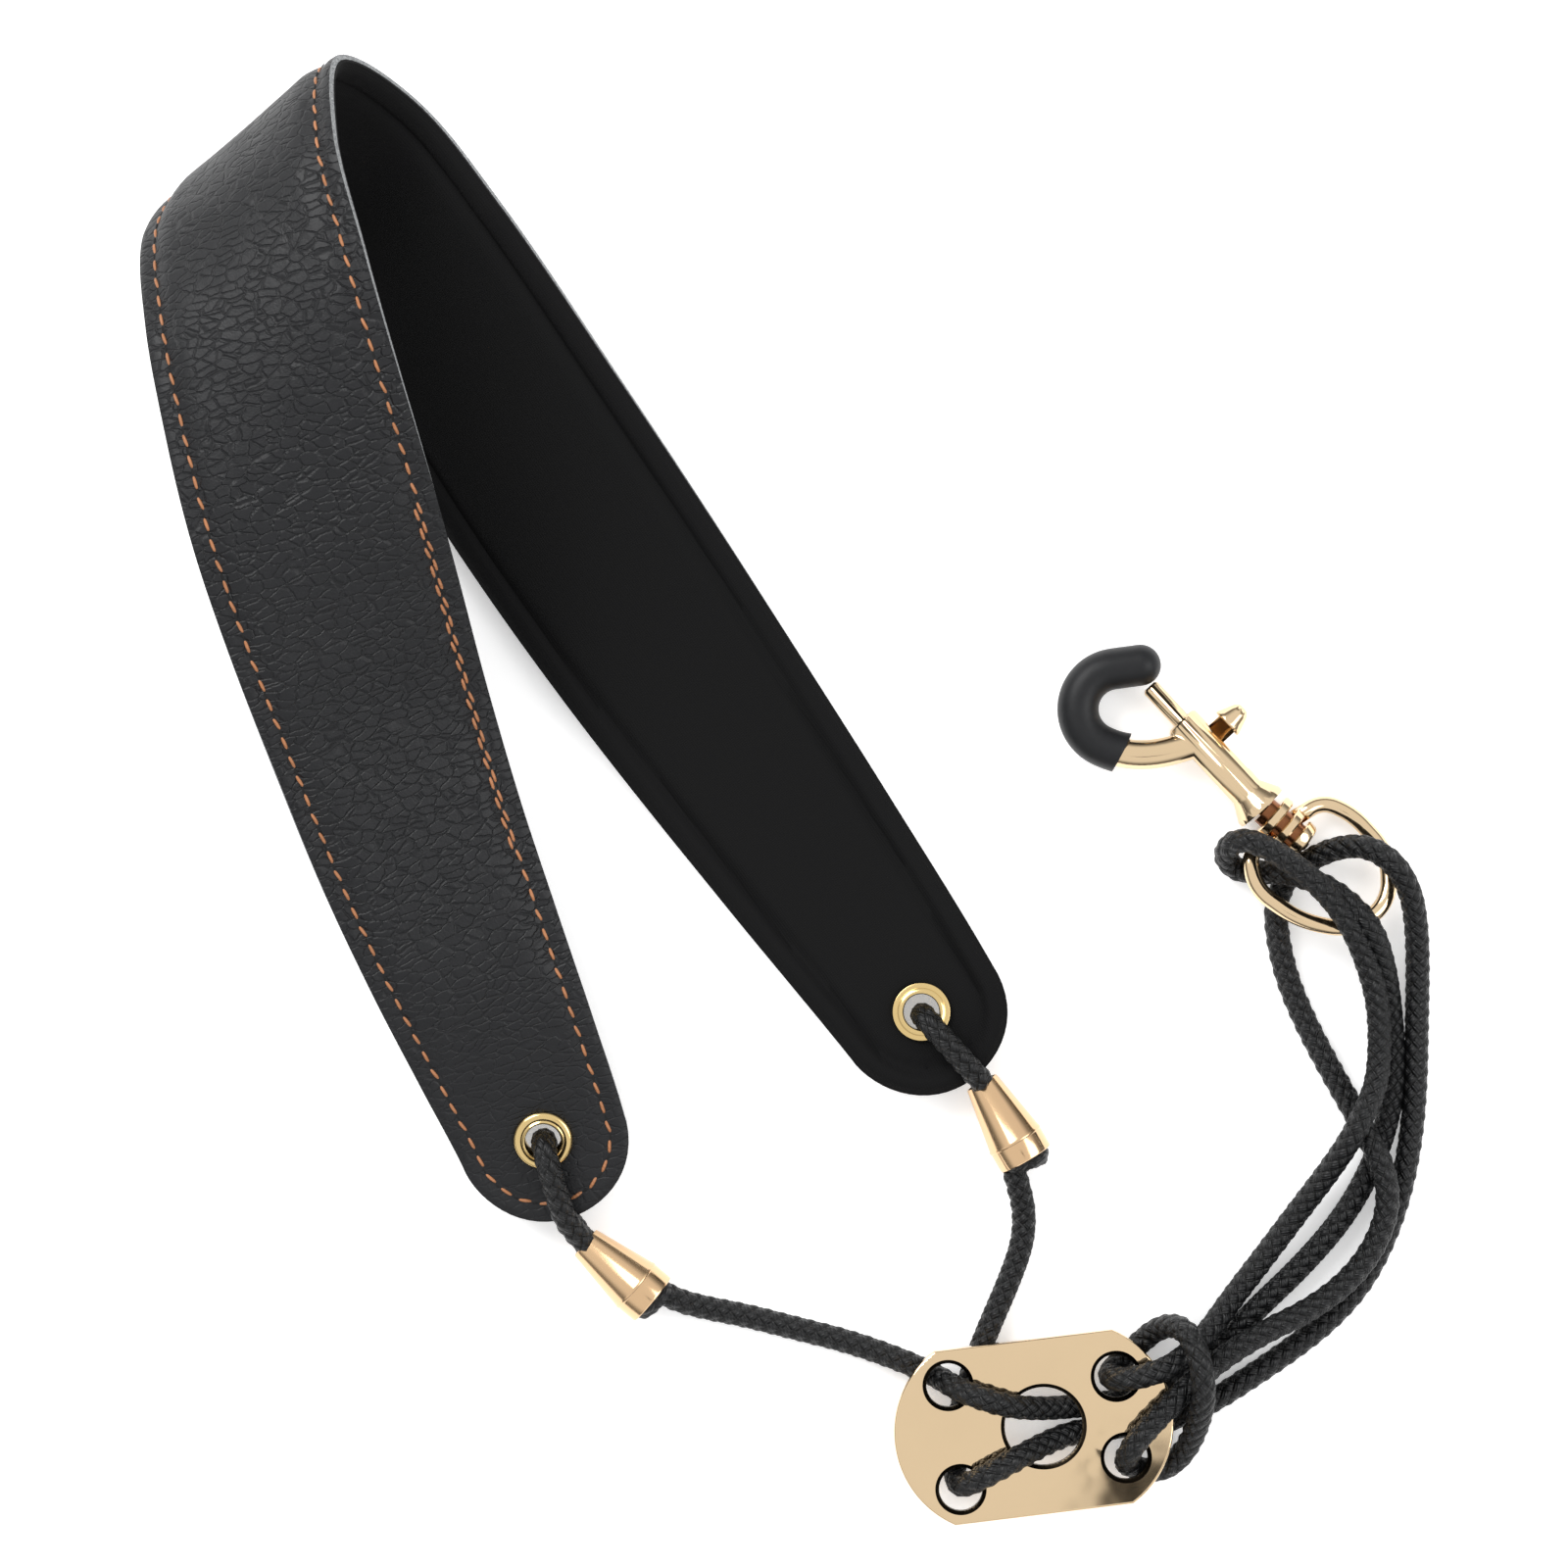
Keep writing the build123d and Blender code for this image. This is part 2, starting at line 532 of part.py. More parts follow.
def plunger_pin():
    """Bolt that shuts the hook, with the piston that the spring pushes on."""
    points = (
        (-PIN_REACH, 0), (-PIN_REACH, PIN_RADIUS - BARREL_CHAMFER),
        (BARREL_CHAMFER - PIN_REACH, PIN_RADIUS),
        (PISTON_START, PIN_RADIUS), (PISTON_START, PISTON_RADIUS), (PISTON_END, PISTON_RADIUS),
        (PISTON_END, 0),
    )
    pin = revolved(points, Plane.XY)
    middle = (PISTON_START + PISTON_END) / 2
    keyway = Box(STEM_LENGTH, 2 * STEM_KEY_DEPTH, STEM_THICKNESS)
    pin -= Pos(middle, PISTON_RADIUS, 0) * keyway
    return HOOK * pin


def thumb_knob():
    """Flat stem through the slot with a blunt cone on its end."""
    middle = (PISTON_START + PISTON_END) / 2
    bottom = PISTON_RADIUS - STEM_KEY_DEPTH
    stem = Pos(middle, (bottom + KNOB_START) / 2, 0) * Box(
        STEM_LENGTH, KNOB_START - bottom, STEM_THICKNESS
    )
    across = Plane(origin=(middle, 0, 0), x_dir=(0, 1, 0), z_dir=(0, 0, 1))
    top = KNOB_START + KNOB_HEIGHT
    points = (
        (KNOB_START, 0), (KNOB_START, KNOB_BASE_RADIUS), (KNOB_START + KNOB_RIM, KNOB_BASE_RADIUS),
        (top - KNOB_TIP_ROUND, KNOB_TIP_RADIUS), (top, KNOB_TIP_RADIUS - KNOB_TIP_ROUND), (top, 0),
    )
    return HOOK * (stem + revolved(points, across))


def plunger_spring():
    """Compression spring between the piston and its seat, as open coils of round wire."""
    clear = SPRING_WIRE_RADIUS + SPRING_END_GAP
    start, end = PISTON_END + clear, SEAT_START - clear
    pitch = (end - start) / SPRING_TURNS
    helix = Helix(pitch, end - start, SPRING_RADIUS)
    wire = sweep(
        Plane(origin=helix @ 0, z_dir=helix % 0) * Circle(SPRING_WIRE_RADIUS),
        path=helix,
        is_frenet=True,
    )
    along = Plane(origin=(start, 0, 0), x_dir=(0, 1, 0), z_dir=(1, 0, 0))
    return HOOK * (along * wire)


def spring_seat():
    return HOOK * (
        rod(Plane.XY, SEAT_START, SEAT_END, CHAMBER_RADIUS)
        - rod(Plane.XY, SEAT_START - 1, SEAT_END + 1, SEAT_HOLE_RADIUS)
    )


LEAN = math.radians(SWIVEL_LEAN)
SWIVEL = inside(HOOK, origin=(BARREL_LENGTH, 0, 0), x_dir=(math.cos(LEAN), math.sin(LEAN), 0))


def swivel_head():
    """Turned collar of three flanges that carries the bow."""
    points = ((HEAD_PROFILE[0][0], SHANK_RADIUS), *HEAD_PROFILE, (HEAD_PROFILE[-1][0], SHANK_RADIUS))
    return revolved(points, SWIVEL) - swivel_bow()


def swivel_rivet():
    """Headed pin that holds the swivel in the barrel's end wall."""
    head_end = RIVET_HEAD_PLACE - BARREL_LENGTH
    head_start = head_end - RIVET_HEAD_THICKNESS
    tail = HEAD_PROFILE[-1][0]
    points = (
        (head_start, 0), (head_start, RIVET_HEAD_RADIUS), (head_end, RIVET_HEAD_RADIUS),
        (head_end, SHANK_RADIUS), (tail, SHANK_RADIUS),
        (tail + BARREL_CHAMFER, SHANK_RADIUS - BARREL_CHAMFER), (tail + BARREL_CHAMFER, 0),
    )
    return revolved(points, SWIVEL)


def swivel_bow():
    """Round wire bow whose two ends go into the head's middle flange."""
    tilt = math.radians(BOW_TILT)
    tilted = inside(SWIVEL, z_dir=(0, math.sin(tilt), math.cos(tilt)))
    points = [(x, y, 0) for x, y in BOW_POINTS]
    radii = corner_radii(points)
    path = FilletPolyline(*points, radius=radii)
    return tilted * swept(path, BOW_WIRE_RADIUS)


PARTS = {
    "leather_face": leather_face,
    "foam_pad": foam_pad,
    "lining": lining,
    "left_eyelet": lambda: eyelet("left"),
    "right_eyelet": lambda: eyelet("right"),
    "left_eyelet_washer": lambda: eyelet_washer("left"),
    "right_eyelet_washer": lambda: eyelet_washer("right"),
    "left_bell": lambda: bell(LEFT_BELL),
    "right_bell": lambda: bell(RIGHT_BELL),
    "left_stopper_knot": lambda: stopper_knot(LEFT_BELL),
    "right_stopper_knot": lambda: stopper_knot(RIGHT_BELL),
    "cord_left_loop": lambda: cord("cord_left_loop", LEFT_LOOP),
    "cord_right_loop": lambda: cord("cord_right_loop", RIGHT_LOOP),
    "cord_left_lead": lambda: cord(
        "cord_left_lead", (from_bell(LEFT_LEAD[0], LEFT_BELL), *stacked(LEFT_LEAD[1:]))),
    "cord_upper_bight": lambda: cord("cord_upper_bight", stacked(UPPER_BIGHT)),
    "cord_wrap": lambda: cord("cord_wrap", stacked(WRAP)),
    "cord_lower_bight": lambda: cord("cord_lower_bight", stacked(LOWER_BIGHT)),
    "cord_right_lead": lambda: cord(
        "cord_right_lead", (*stacked(RIGHT_LEAD[:-1]), from_bell(RIGHT_LEAD[-1], RIGHT_BELL))),
    "adjuster_plate": adjuster_plate,
    "hook_body": hook_body,
    "hook_sleeve": hook_sleeve,
    "plunger_pin": plunger_pin,
    "thumb_knob": thumb_knob,
    "plunger_spring": plunger_spring,
    "spring_seat": spring_seat,
    "swivel_head": swivel_head,
    "swivel_rivet": swivel_rivet,
    "swivel_bow": swivel_bow,
}

if __name__ == "__main__":
    os.makedirs("parts", exist_ok=True)
    for name, make in PARTS.items():
        export_step(Compound(children=[make()]), f"parts/{name}.step")
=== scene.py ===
"""Looks for a saxophone neck strap: leather neck band, braided cord, bell cones, plate slider
and a sprung bolt hook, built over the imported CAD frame."""

import math

import bmesh
import bpy
import numpy as np
from mathutils import Matrix, Vector


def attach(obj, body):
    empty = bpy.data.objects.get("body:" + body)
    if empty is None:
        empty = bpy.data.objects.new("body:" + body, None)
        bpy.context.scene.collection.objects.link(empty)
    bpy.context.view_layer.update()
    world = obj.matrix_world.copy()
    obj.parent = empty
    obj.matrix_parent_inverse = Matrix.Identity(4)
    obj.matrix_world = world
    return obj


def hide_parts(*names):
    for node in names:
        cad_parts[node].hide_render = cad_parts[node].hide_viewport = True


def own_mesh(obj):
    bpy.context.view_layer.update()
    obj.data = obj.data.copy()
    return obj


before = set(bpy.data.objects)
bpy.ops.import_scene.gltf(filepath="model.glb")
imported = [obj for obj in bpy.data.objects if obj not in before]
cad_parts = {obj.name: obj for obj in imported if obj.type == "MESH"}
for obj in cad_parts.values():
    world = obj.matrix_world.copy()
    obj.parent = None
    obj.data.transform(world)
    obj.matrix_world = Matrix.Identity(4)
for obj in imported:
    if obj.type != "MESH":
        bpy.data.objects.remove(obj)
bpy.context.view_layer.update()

bl_info = {
    "name": "Saxophone neck strap",
    "version": (1, 0, 0),
    "blender": (4, 5, 0),
    "location": "View3D > Sidebar > Neck strap",
    "description": "Builds the visible pieces of a padded neck strap over its CAD frame",
    "category": "Object",
}

MM = 0.001
STRAP, HOOK, PLUNGER = "strap", "hook", "plunger"

# Middle of the band from its left tip, over the bend and back to its right tip, in mm:
# x, y, z, then the turn and the tilt of its width in degrees.
BAND_LINE = (
    (-42.9, -85.0, 7.0, 16, 2), (-47.5, -69.0, 9.8, 16, 2), (-55.0, -50.0, 15.5, 19, 0),
    (-63.5, -29.0, 21.5, 21, -6), (-71.5, -8.0, 26.5, 22, -11), (-78.5, 13.5, 33.0, 22, -13),
    (-84.5, 34.0, 42.0, 20, -9), (-90.0, 54.0, 50.0, 17, -2), (-95.5, 75.5, 53.5, 16, 9),
    (-101.0, 98.0, 51.5, 18, 17), (-105.0, 119.0, 43.0, 25, 25), (-102.0, 132.0, 27.5, 38, 28),
    (-87.5, 123.5, 14.5, 41, 26), (-73.0, 105.0, 13.5, 40, 24), (-48.5, 67.0, 9.5, 37, 14),
    (-22.5, 29.0, 6.5, 35, 5), (5.0, -9.5, 5.2, 35, 1), (28.8, -43.0, 8.6, 33, 2),
    (37.7, -58.0, 7.6, 31, 2),
)
TAPER_LENGTH, TAPER_POWER = 140.0, 1.6
EYELET_INSET = 17.4
EYELET_HOLE_RADIUS = 4.3
TIP_RADIUS = 17.2
LEATHER_THICKNESS, LINING_THICKNESS = 1.6, 0.8
FOAM_THICKNESS, FOAM_STOP, FOAM_RAMP = 2.6, 28.0, 34.0

# Cord routes, in metres
LEFT_LOOP = (
    (-0.0391, -0.0900, 0.0080), (-0.0429, -0.0860, 0.0110), (-0.0447, -0.0798, 0.0133),
    (-0.0462, -0.0742, 0.0159), (-0.0475, -0.0692, 0.0156), (-0.0476, -0.0687, 0.0069),
    (-0.0463, -0.0742, 0.0031), (-0.0447, -0.0799, 0.0028), (-0.0429, -0.0860, 0.0029),
    (-0.0391, -0.0900, 0.0052),
)
RIGHT_LOOP = (
    (0.0412, -0.0574, 0.0100), (0.0372, -0.0528, 0.0122), (0.0328, -0.0480, 0.0138),
    (0.0291, -0.0438, 0.0137), (0.0289, -0.0436, 0.0053), (0.0323, -0.0473, 0.0028),
    (0.0369, -0.0526, 0.0027), (0.0412, -0.0574, 0.0046),
)
LONG_CORD = (
    (-0.0250, -0.0994, 0.0066), (-0.0212, -0.1016, 0.0058), (-0.0156, -0.1034, 0.0034),
    (-0.0066, -0.1052, 0.0026), (0.0034, -0.1078, 0.0025), (0.0140, -0.1104, 0.0026),
    (0.0248, -0.1142, 0.0025),
    (0.0324, -0.1176, 0.0030), (0.0350, -0.1188, 0.0086), (0.0396, -0.1205, 0.0121),
    (0.0464, -0.1226, 0.0116), (0.0528, -0.1236, 0.0070), (0.0584, -0.1238, 0.0028),
    (0.0642, -0.1233, 0.0025), (0.0701, -0.1223, 0.0026), (0.0804, -0.1196, 0.0025),
    (0.0884, -0.1129, 0.0026), (0.0970, -0.1040, 0.0025), (0.1070, -0.0945, 0.0026),
    (0.1154, -0.0846, 0.0026), (0.1212, -0.0740, 0.0025), (0.1246, -0.0630, 0.0026),
    (0.1252, -0.0520, 0.0025), (0.1244, -0.0420, 0.0029), (0.1228, -0.0340, 0.0064),
    (0.1198, -0.0262, 0.0117), (0.1146, -0.0204, 0.0119), (0.1086, -0.0166, 0.0100),
    (0.1028, -0.0149, 0.0084), (0.0974, -0.0150, 0.0038), (0.0934, -0.0146, 0.0026),
    (0.0906, -0.0124, 0.0046), (0.0907, -0.0094, 0.0092), (0.0938, -0.0080, 0.0128),
    (0.0988, -0.0100, 0.0136), (0.1046, -0.0138, 0.0142), (0.1104, -0.0190, 0.0138),
    (0.1152, -0.0254, 0.0126), (0.1186, -0.0322, 0.0094), (0.1214, -0.0410, 0.0072),
    (0.1218, -0.0500, 0.0072), (0.1208, -0.0576, 0.0098), (0.1182, -0.0632, 0.0113),
    (0.1152, -0.0694, 0.0098), (0.1108, -0.0766, 0.0058), (0.1056, -0.0840, 0.0029),
    (0.0986, -0.0934, 0.0026), (0.0920, -0.1018, 0.0034), (0.0866, -0.1086, 0.0074),
    (0.0802, -0.1142, 0.0110), (0.0734, -0.1166, 0.0120), (0.0678, -0.1173, 0.0110),
    (0.0668, -0.1171, 0.0040), (0.0694, -0.1144, 0.0026), (0.0732, -0.1110, 0.0026),
    (0.0766, -0.1078, 0.0038), (0.0802, -0.1062, 0.0090), (0.0830, -0.1082, 0.0146),
    (0.0848, -0.1136, 0.0170), (0.0856, -0.1200, 0.0150), (0.0848, -0.1264, 0.0090),
    (0.0828, -0.1324, 0.0036), (0.0792, -0.1362, 0.0025), (0.0750, -0.1368, 0.0026),
    (0.0714, -0.1358, 0.0025), (0.0699, -0.1340, 0.0084), (0.0718, -0.1298, 0.0120),
    (0.0772, -0.1239, 0.0116), (0.0832, -0.1182, 0.0100), (0.0906, -0.1126, 0.0078),
    (0.0986, -0.1078, 0.0075), (0.1070, -0.1038, 0.0076), (0.1146, -0.0984, 0.0076),
    (0.1202, -0.0916, 0.0075), (0.1234, -0.0836, 0.0076), (0.1230, -0.0760, 0.0077),
    (0.1196, -0.0688, 0.0070), (0.1154, -0.0608, 0.0034), (0.1108, -0.0526, 0.0026),
    (0.1066, -0.0444, 0.0026), (0.1034, -0.0366, 0.0025), (0.1015, -0.0286, 0.0026),
    (0.1010, -0.0218, 0.0025), (0.1030, -0.0162, 0.0026), (0.1078, -0.0124, 0.0034),
    (0.1132, -0.0098, 0.0068), (0.1186, -0.0094, 0.0104), (0.1240, -0.0126, 0.0114),
    (0.1278, -0.0186, 0.0092), (0.1296, -0.0264, 0.0044), (0.1300, -0.0356, 0.0025),
    (0.1298, -0.0460, 0.0025), (0.1296, -0.0570, 0.0026), (0.1288, -0.0680, 0.0025),
    (0.1268, -0.0790, 0.0026), (0.1234, -0.0894, 0.0025), (0.1186, -0.0986, 0.0026),
    (0.1120, -0.1060, 0.0025), (0.1046, -0.1118, 0.0026), (0.0964, -0.1174, 0.0025),
    (0.0880, -0.1228, 0.0026), (0.0796, -0.1266, 0.0025), (0.0708, -0.1277, 0.0026),
    (0.0646, -0.1282, 0.0025), (0.0588, -0.1292, 0.0028), (0.0532, -0.1310, 0.0070),
    (0.0474, -0.1334, 0.0116), (0.0414, -0.1366, 0.0122), (0.0370, -0.1392, 0.0090),
    (0.0358, -0.1384, 0.0029), (0.0356, -0.1310, 0.0025), (0.0374, -0.1224, 0.0026),
    (0.0400, -0.1144, 0.0025), (0.0432, -0.1064, 0.0026), (0.0468, -0.0982, 0.0025),
    (0.0496, -0.0904, 0.0026), (0.0499, -0.0840, 0.0034), (0.0487, -0.0790, 0.0058),
    (0.0475, -0.0748, 0.0069),
)

# Bell cones: place of the narrow end in mm and turn in degrees
LEFT_BELL = ((-39.3, -89.9, 6.6), -40.3)
RIGHT_BELL = ((41.0, -57.4, 7.2), -59.8)
# Middle of the swivel, at the barrel's flared mouth, and its direction
SWIVEL_PLACE = (0.0980106, -0.0019296, 0.00565)
SWIVEL_YAW = -41.2
# Adjuster plate in mm: its middle, its turn, the heights of its hole walls and its holes
PLATE_PLACE, PLATE_YAW = (51.6, -127.3), 7.0
PLATE_HEIGHTS = (5.35, 8.25)
PLATE_HOLES = (
    (-16.2, 10.6, 4.4), (-16.2, -10.6, 4.4), (17.8, 8.3, 4.4), (17.8, -8.3, 4.4), (2.0, 0.0, 7.9),
)


def linear(hex_colour):
    """sRGB hex colour as the linear values that shaders take."""
    out = []
    for i in (1, 3, 5):
        c = int(hex_colour[i:i + 2], 16) / 255
        out.append(c / 12.92 if c <= 0.04045 else ((c + 0.055) / 1.055) ** 2.4)
    return (*out, 1.0)


# Settings

class StrapSizes(bpy.types.PropertyGroup):
    cord_diameter: bpy.props.FloatProperty(
        name="Cord diameter", description="Outside of the braided cord",
        default=0.0049, unit="LENGTH")
    braid_cell: bpy.props.FloatProperty(
        name="Braid cell", description="Length of one plait of the braid along the cord",
        default=0.0030, unit="LENGTH")
    braid_plaits: bpy.props.IntProperty(
        name="Plaits", description="Plaits counted once around the cord", default=5, min=4)
    band_width: bpy.props.FloatProperty(
        name="Band width", description="Width of the neck band at its middle",
        default=0.048, unit="LENGTH")
    band_end_width: bpy.props.FloatProperty(
        name="Band end width", description="Width of the neck band at its eyelets",
        default=0.0344, unit="LENGTH")
    seam_inset: bpy.props.FloatProperty(
        name="Seam inset", description="From the band's edge to its line of stitches",
        default=0.0038, unit="LENGTH")
    stitch_pitch: bpy.props.FloatProperty(
        name="Stitch pitch", description="From one stitch to the next",
        default=0.0042, unit="LENGTH")
    thread_diameter: bpy.props.FloatProperty(
        name="Thread diameter", description="Thickness of the sewing thread",
        default=0.0007, unit="LENGTH")


class StrapColours(bpy.types.PropertyGroup):
    leather: bpy.props.FloatVectorProperty(
        name="Leather", description="Dyed leather face", subtype="COLOR", size=4,
        default=linear("#111215"))
    lining: bpy.props.FloatVectorProperty(
        name="Lining", description="Knitted lining", subtype="COLOR", size=4,
        default=linear("#060607"))
    thread: bpy.props.FloatVectorProperty(
        name="Thread", description="Sewing thread", subtype="COLOR", size=4,
        default=linear("#BC7D52"))
    cord: bpy.props.FloatVectorProperty(
        name="Cord", description="Braided cord", subtype="COLOR", size=4,
        default=linear("#0A0B0D"))
    plate: bpy.props.FloatVectorProperty(
        name="Light gold", description="Light gold plating of the slider", subtype="COLOR", size=4,
        default=linear("#EACFA8"))
    bells: bpy.props.FloatVectorProperty(
        name="Rose gold", description="Rose gold plating of the bell cones", subtype="COLOR", size=4,
        default=linear("#E4C096"))
    brass: bpy.props.FloatVectorProperty(
        name="Brass", description="Polished brass of the eyelets", subtype="COLOR", size=4,
        default=linear("#E6C98C"))


# Shader building

def add_node(tree, kind, inputs=(), **settings):
    """Adds a shader node; inputs maps each socket to a value or to another node's output."""
    made = tree.nodes.new(kind)
    for name, value in settings.items():
        setattr(made, name, value)
    for socket, value in dict(inputs).items():
        if isinstance(value, bpy.types.NodeSocket):
            tree.links.new(value, made.inputs[socket])
        else:
            made.inputs[socket].default_value = value
    return made


def new_material(name):
    """Empty material with a Principled surface; gives the material, its tree and its shader."""
    made = bpy.data.materials.new(name)
    made.use_nodes = True
    tree = made.node_tree
    tree.nodes.clear()
    shader = add_node(tree, "ShaderNodeBsdfPrincipled")
    add_node(tree, "ShaderNodeOutputMaterial", {"Surface": shader.outputs["BSDF"]})
    return made, tree, shader


def set_inputs(shader, **values):
    for name, value in values.items():
        shader.inputs[name.replace("_", " ")].default_value = value


def darker(colour, share):
    return (colour[0] * share, colour[1] * share, colour[2] * share, 1.0)


def pebbled_leather(colours):
    """Drum-dyed, embossed cowhide: soft gloss, cells 3.4 mm across the band and 1.8 mm along, with painted shade in
    the creases between the cells.
    """
    made, tree, shader = new_material("embossed cowhide")
    place = add_node(tree, "ShaderNodeTexCoord").outputs["Object"]
    cloth = add_node(tree, "ShaderNodeUVMap", uv_map="cloth").outputs["UV"]
    cells = add_node(tree, "ShaderNodeVectorMath", {
        0: cloth, 1: (1 / 0.0034, 1 / 0.0018, 0.0)}, operation="MULTIPLY")
    wander = add_node(tree, "ShaderNodeTexNoise", {"Vector": place, "Scale": 330.0, "Detail": 3.0})
    sway = add_node(tree, "ShaderNodeVectorMath", {
        0: wander.outputs["Color"], 1: (0.9, 0.9, 0.0)}, operation="MULTIPLY")
    bent = add_node(tree, "ShaderNodeVectorMath", {
        0: cells.outputs[0], 1: sway.outputs[0]}, operation="ADD")
    pebble = add_node(tree, "ShaderNodeTexVoronoi", {
        "Vector": bent.outputs[0], "Scale": 1.0, "Randomness": 1.0}, feature="DISTANCE_TO_EDGE")
    crease = add_node(tree, "ShaderNodeMapRange", {
        "Value": pebble.outputs["Distance"], "From Max": 0.13}, interpolation_type="SMOOTHSTEP")
    pore = add_node(tree, "ShaderNodeTexNoise", {"Vector": place, "Scale": 2600.0, "Detail": 3.0})
    fold = add_node(tree, "ShaderNodeTexNoise", {
        "Vector": place, "Scale": 110.0, "Detail": 4.0, "Roughness": 0.6})
    fade = add_node(tree, "ShaderNodeAttribute", attribute_name="grain")
    grain = add_node(tree, "ShaderNodeMath", {
        0: crease.outputs[0], 1: fade.outputs["Fac"]}, operation="MULTIPLY")
    height = add_node(tree, "ShaderNodeMath", {
        0: grain.outputs[0],
        1: add_node(tree, "ShaderNodeMath", {0: pore.outputs[0], 1: 0.25}, operation="MULTIPLY").outputs[0],
    }, operation="ADD")
    height = add_node(tree, "ShaderNodeMath", {
        0: height.outputs[0],
        1: add_node(tree, "ShaderNodeMath", {0: fold.outputs[0], 1: 1.3}, operation="MULTIPLY").outputs[0],
    }, operation="ADD")
    bump = add_node(tree, "ShaderNodeBump", {
        "Height": height.outputs[0], "Strength": 0.6, "Distance": 0.00045})
    # Painted shade: the colour falls to 0.78 in the creases between the pebbles; where the grain fades towards the
    # tips, the whole face comes out darker. The mottle from the fold noise is multiplied in below.
    tone = add_node(tree, "ShaderNodeMapRange", {
        "Value": grain.outputs[0], "To Min": 0.78, "To Max": 1.0})
    mottled = add_node(tree, "ShaderNodeMapRange", {
        "Value": fold.outputs[0], "From Min": 0.3, "From Max": 0.7, "To Min": 0.86, "To Max": 1.12})
    shade = add_node(tree, "ShaderNodeMath", {
        0: tone.outputs[0], 1: mottled.outputs[0]}, operation="MULTIPLY")
    colour = add_node(tree, "ShaderNodeMix", {
        "Factor": shade.outputs[0], 6: darker(colours.leather, 0.3), 7: colours.leather[:]},
        data_type="RGBA")
    rough = add_node(tree, "ShaderNodeMapRange", {
        "Value": fold.outputs[0], "From Min": 0.3, "From Max": 0.7, "To Min": 0.40, "To Max": 0.52})
    tree.links.new(colour.outputs[2], shader.inputs["Base Color"])
    tree.links.new(rough.outputs[0], shader.inputs["Roughness"])
    tree.links.new(bump.outputs[0], shader.inputs["Normal"])
    set_inputs(shader, IOR=1.4)
    return made


def raw_edge():
    """Cut flank of chrome-tanned hide: pale grey fibres, fully matt."""
    made, tree, shader = new_material("raw hide edge")
    place = add_node(tree, "ShaderNodeTexCoord").outputs["Object"]
    fibre = add_node(tree, "ShaderNodeTexNoise", {
        "Vector": place, "Scale": 2400.0, "Detail": 4.0, "Roughness": 0.75})
    ramp = add_node(tree, "ShaderNodeMapRange", {
        "Value": fibre.outputs[0], "From Min": 0.35, "From Max": 0.65})
    colour = add_node(tree, "ShaderNodeMix", {
        "Factor": ramp.outputs[0], 6: linear("#5E6062"), 7: linear("#A9ABAC")}, data_type="RGBA")
    bump = add_node(tree, "ShaderNodeBump", {
        "Height": fibre.outputs[0], "Strength": 0.8, "Distance": 0.0003})
    tree.links.new(colour.outputs[2], shader.inputs["Base Color"])
    tree.links.new(bump.outputs[0], shader.inputs["Normal"])
    set_inputs(shader, Roughness=0.95)
    return made


def knitted_lining(colours):
    """Fine warp-knit polyester over foam: matt black, ribs 0.5 mm apart, with painted shade between the ribs."""
    made, tree, shader = new_material("warp-knit polyester")
    cloth = add_node(tree, "ShaderNodeUVMap", uv_map="cloth").outputs["UV"]
    ribs = add_node(tree, "ShaderNodeTexWave", {
        "Vector": cloth, "Scale": 640.0, "Distortion": 0.6, "Detail": 1.0, "Detail Scale": 2.0},
        bands_direction="X")
    loops = add_node(tree, "ShaderNodeTexWave", {
        "Vector": cloth, "Scale": 760.0, "Distortion": 0.4}, bands_direction="Y")
    knit = add_node(tree, "ShaderNodeMath", {
        0: ribs.outputs["Fac"], 1: loops.outputs["Fac"]}, operation="MULTIPLY")
    fuzz = add_node(tree, "ShaderNodeTexNoise", {
        "Vector": add_node(tree, "ShaderNodeTexCoord").outputs["Object"], "Scale": 900.0, "Detail": 3.0})
    height = add_node(tree, "ShaderNodeMath", {
        0: knit.outputs[0], 1: fuzz.outputs[0]}, operation="ADD")
    bump = add_node(tree, "ShaderNodeBump", {
        "Height": height.outputs[0], "Strength": 0.35, "Distance": 0.0002})
    # Painted shade: the colour drops to half where the knit is low, between its ribs and loops.
    colour = add_node(tree, "ShaderNodeMix", {
        "Factor": knit.outputs[0], 6: darker(colours.lining, 0.5), 7: colours.lining[:]},
        data_type="RGBA")
    tree.links.new(colour.outputs[2], shader.inputs["Base Color"])
    tree.links.new(bump.outputs[0], shader.inputs["Normal"])
    set_inputs(shader, Roughness=0.8, IOR=1.3)
    return made


def sewing_thread(colours):
    """Bonded polyester thread, three plies: satin, its twist 0.6 mm long."""
    made, tree, shader = new_material("bonded polyester thread")
    place = add_node(tree, "ShaderNodeTexCoord").outputs["Object"]
    twist = add_node(tree, "ShaderNodeTexWave", {
        "Vector": place, "Scale": 560.0, "Distortion": 1.0}, bands_direction="DIAGONAL")
    wear = add_node(tree, "ShaderNodeTexNoise", {"Vector": place, "Scale": 90.0, "Detail": 2.0})
    colour = add_node(tree, "ShaderNodeMix", {
        "Factor": wear.outputs[0], 6: darker(colours.thread, 0.55), 7: colours.thread[:]},
        data_type="RGBA")
    bump = add_node(tree, "ShaderNodeBump", {
        "Height": twist.outputs["Fac"], "Strength": 0.5, "Distance": 0.0001})
    tree.links.new(colour.outputs[2], shader.inputs["Base Color"])
    tree.links.new(bump.outputs[0], shader.inputs["Normal"])
    set_inputs(shader, Roughness=0.5)
    return made


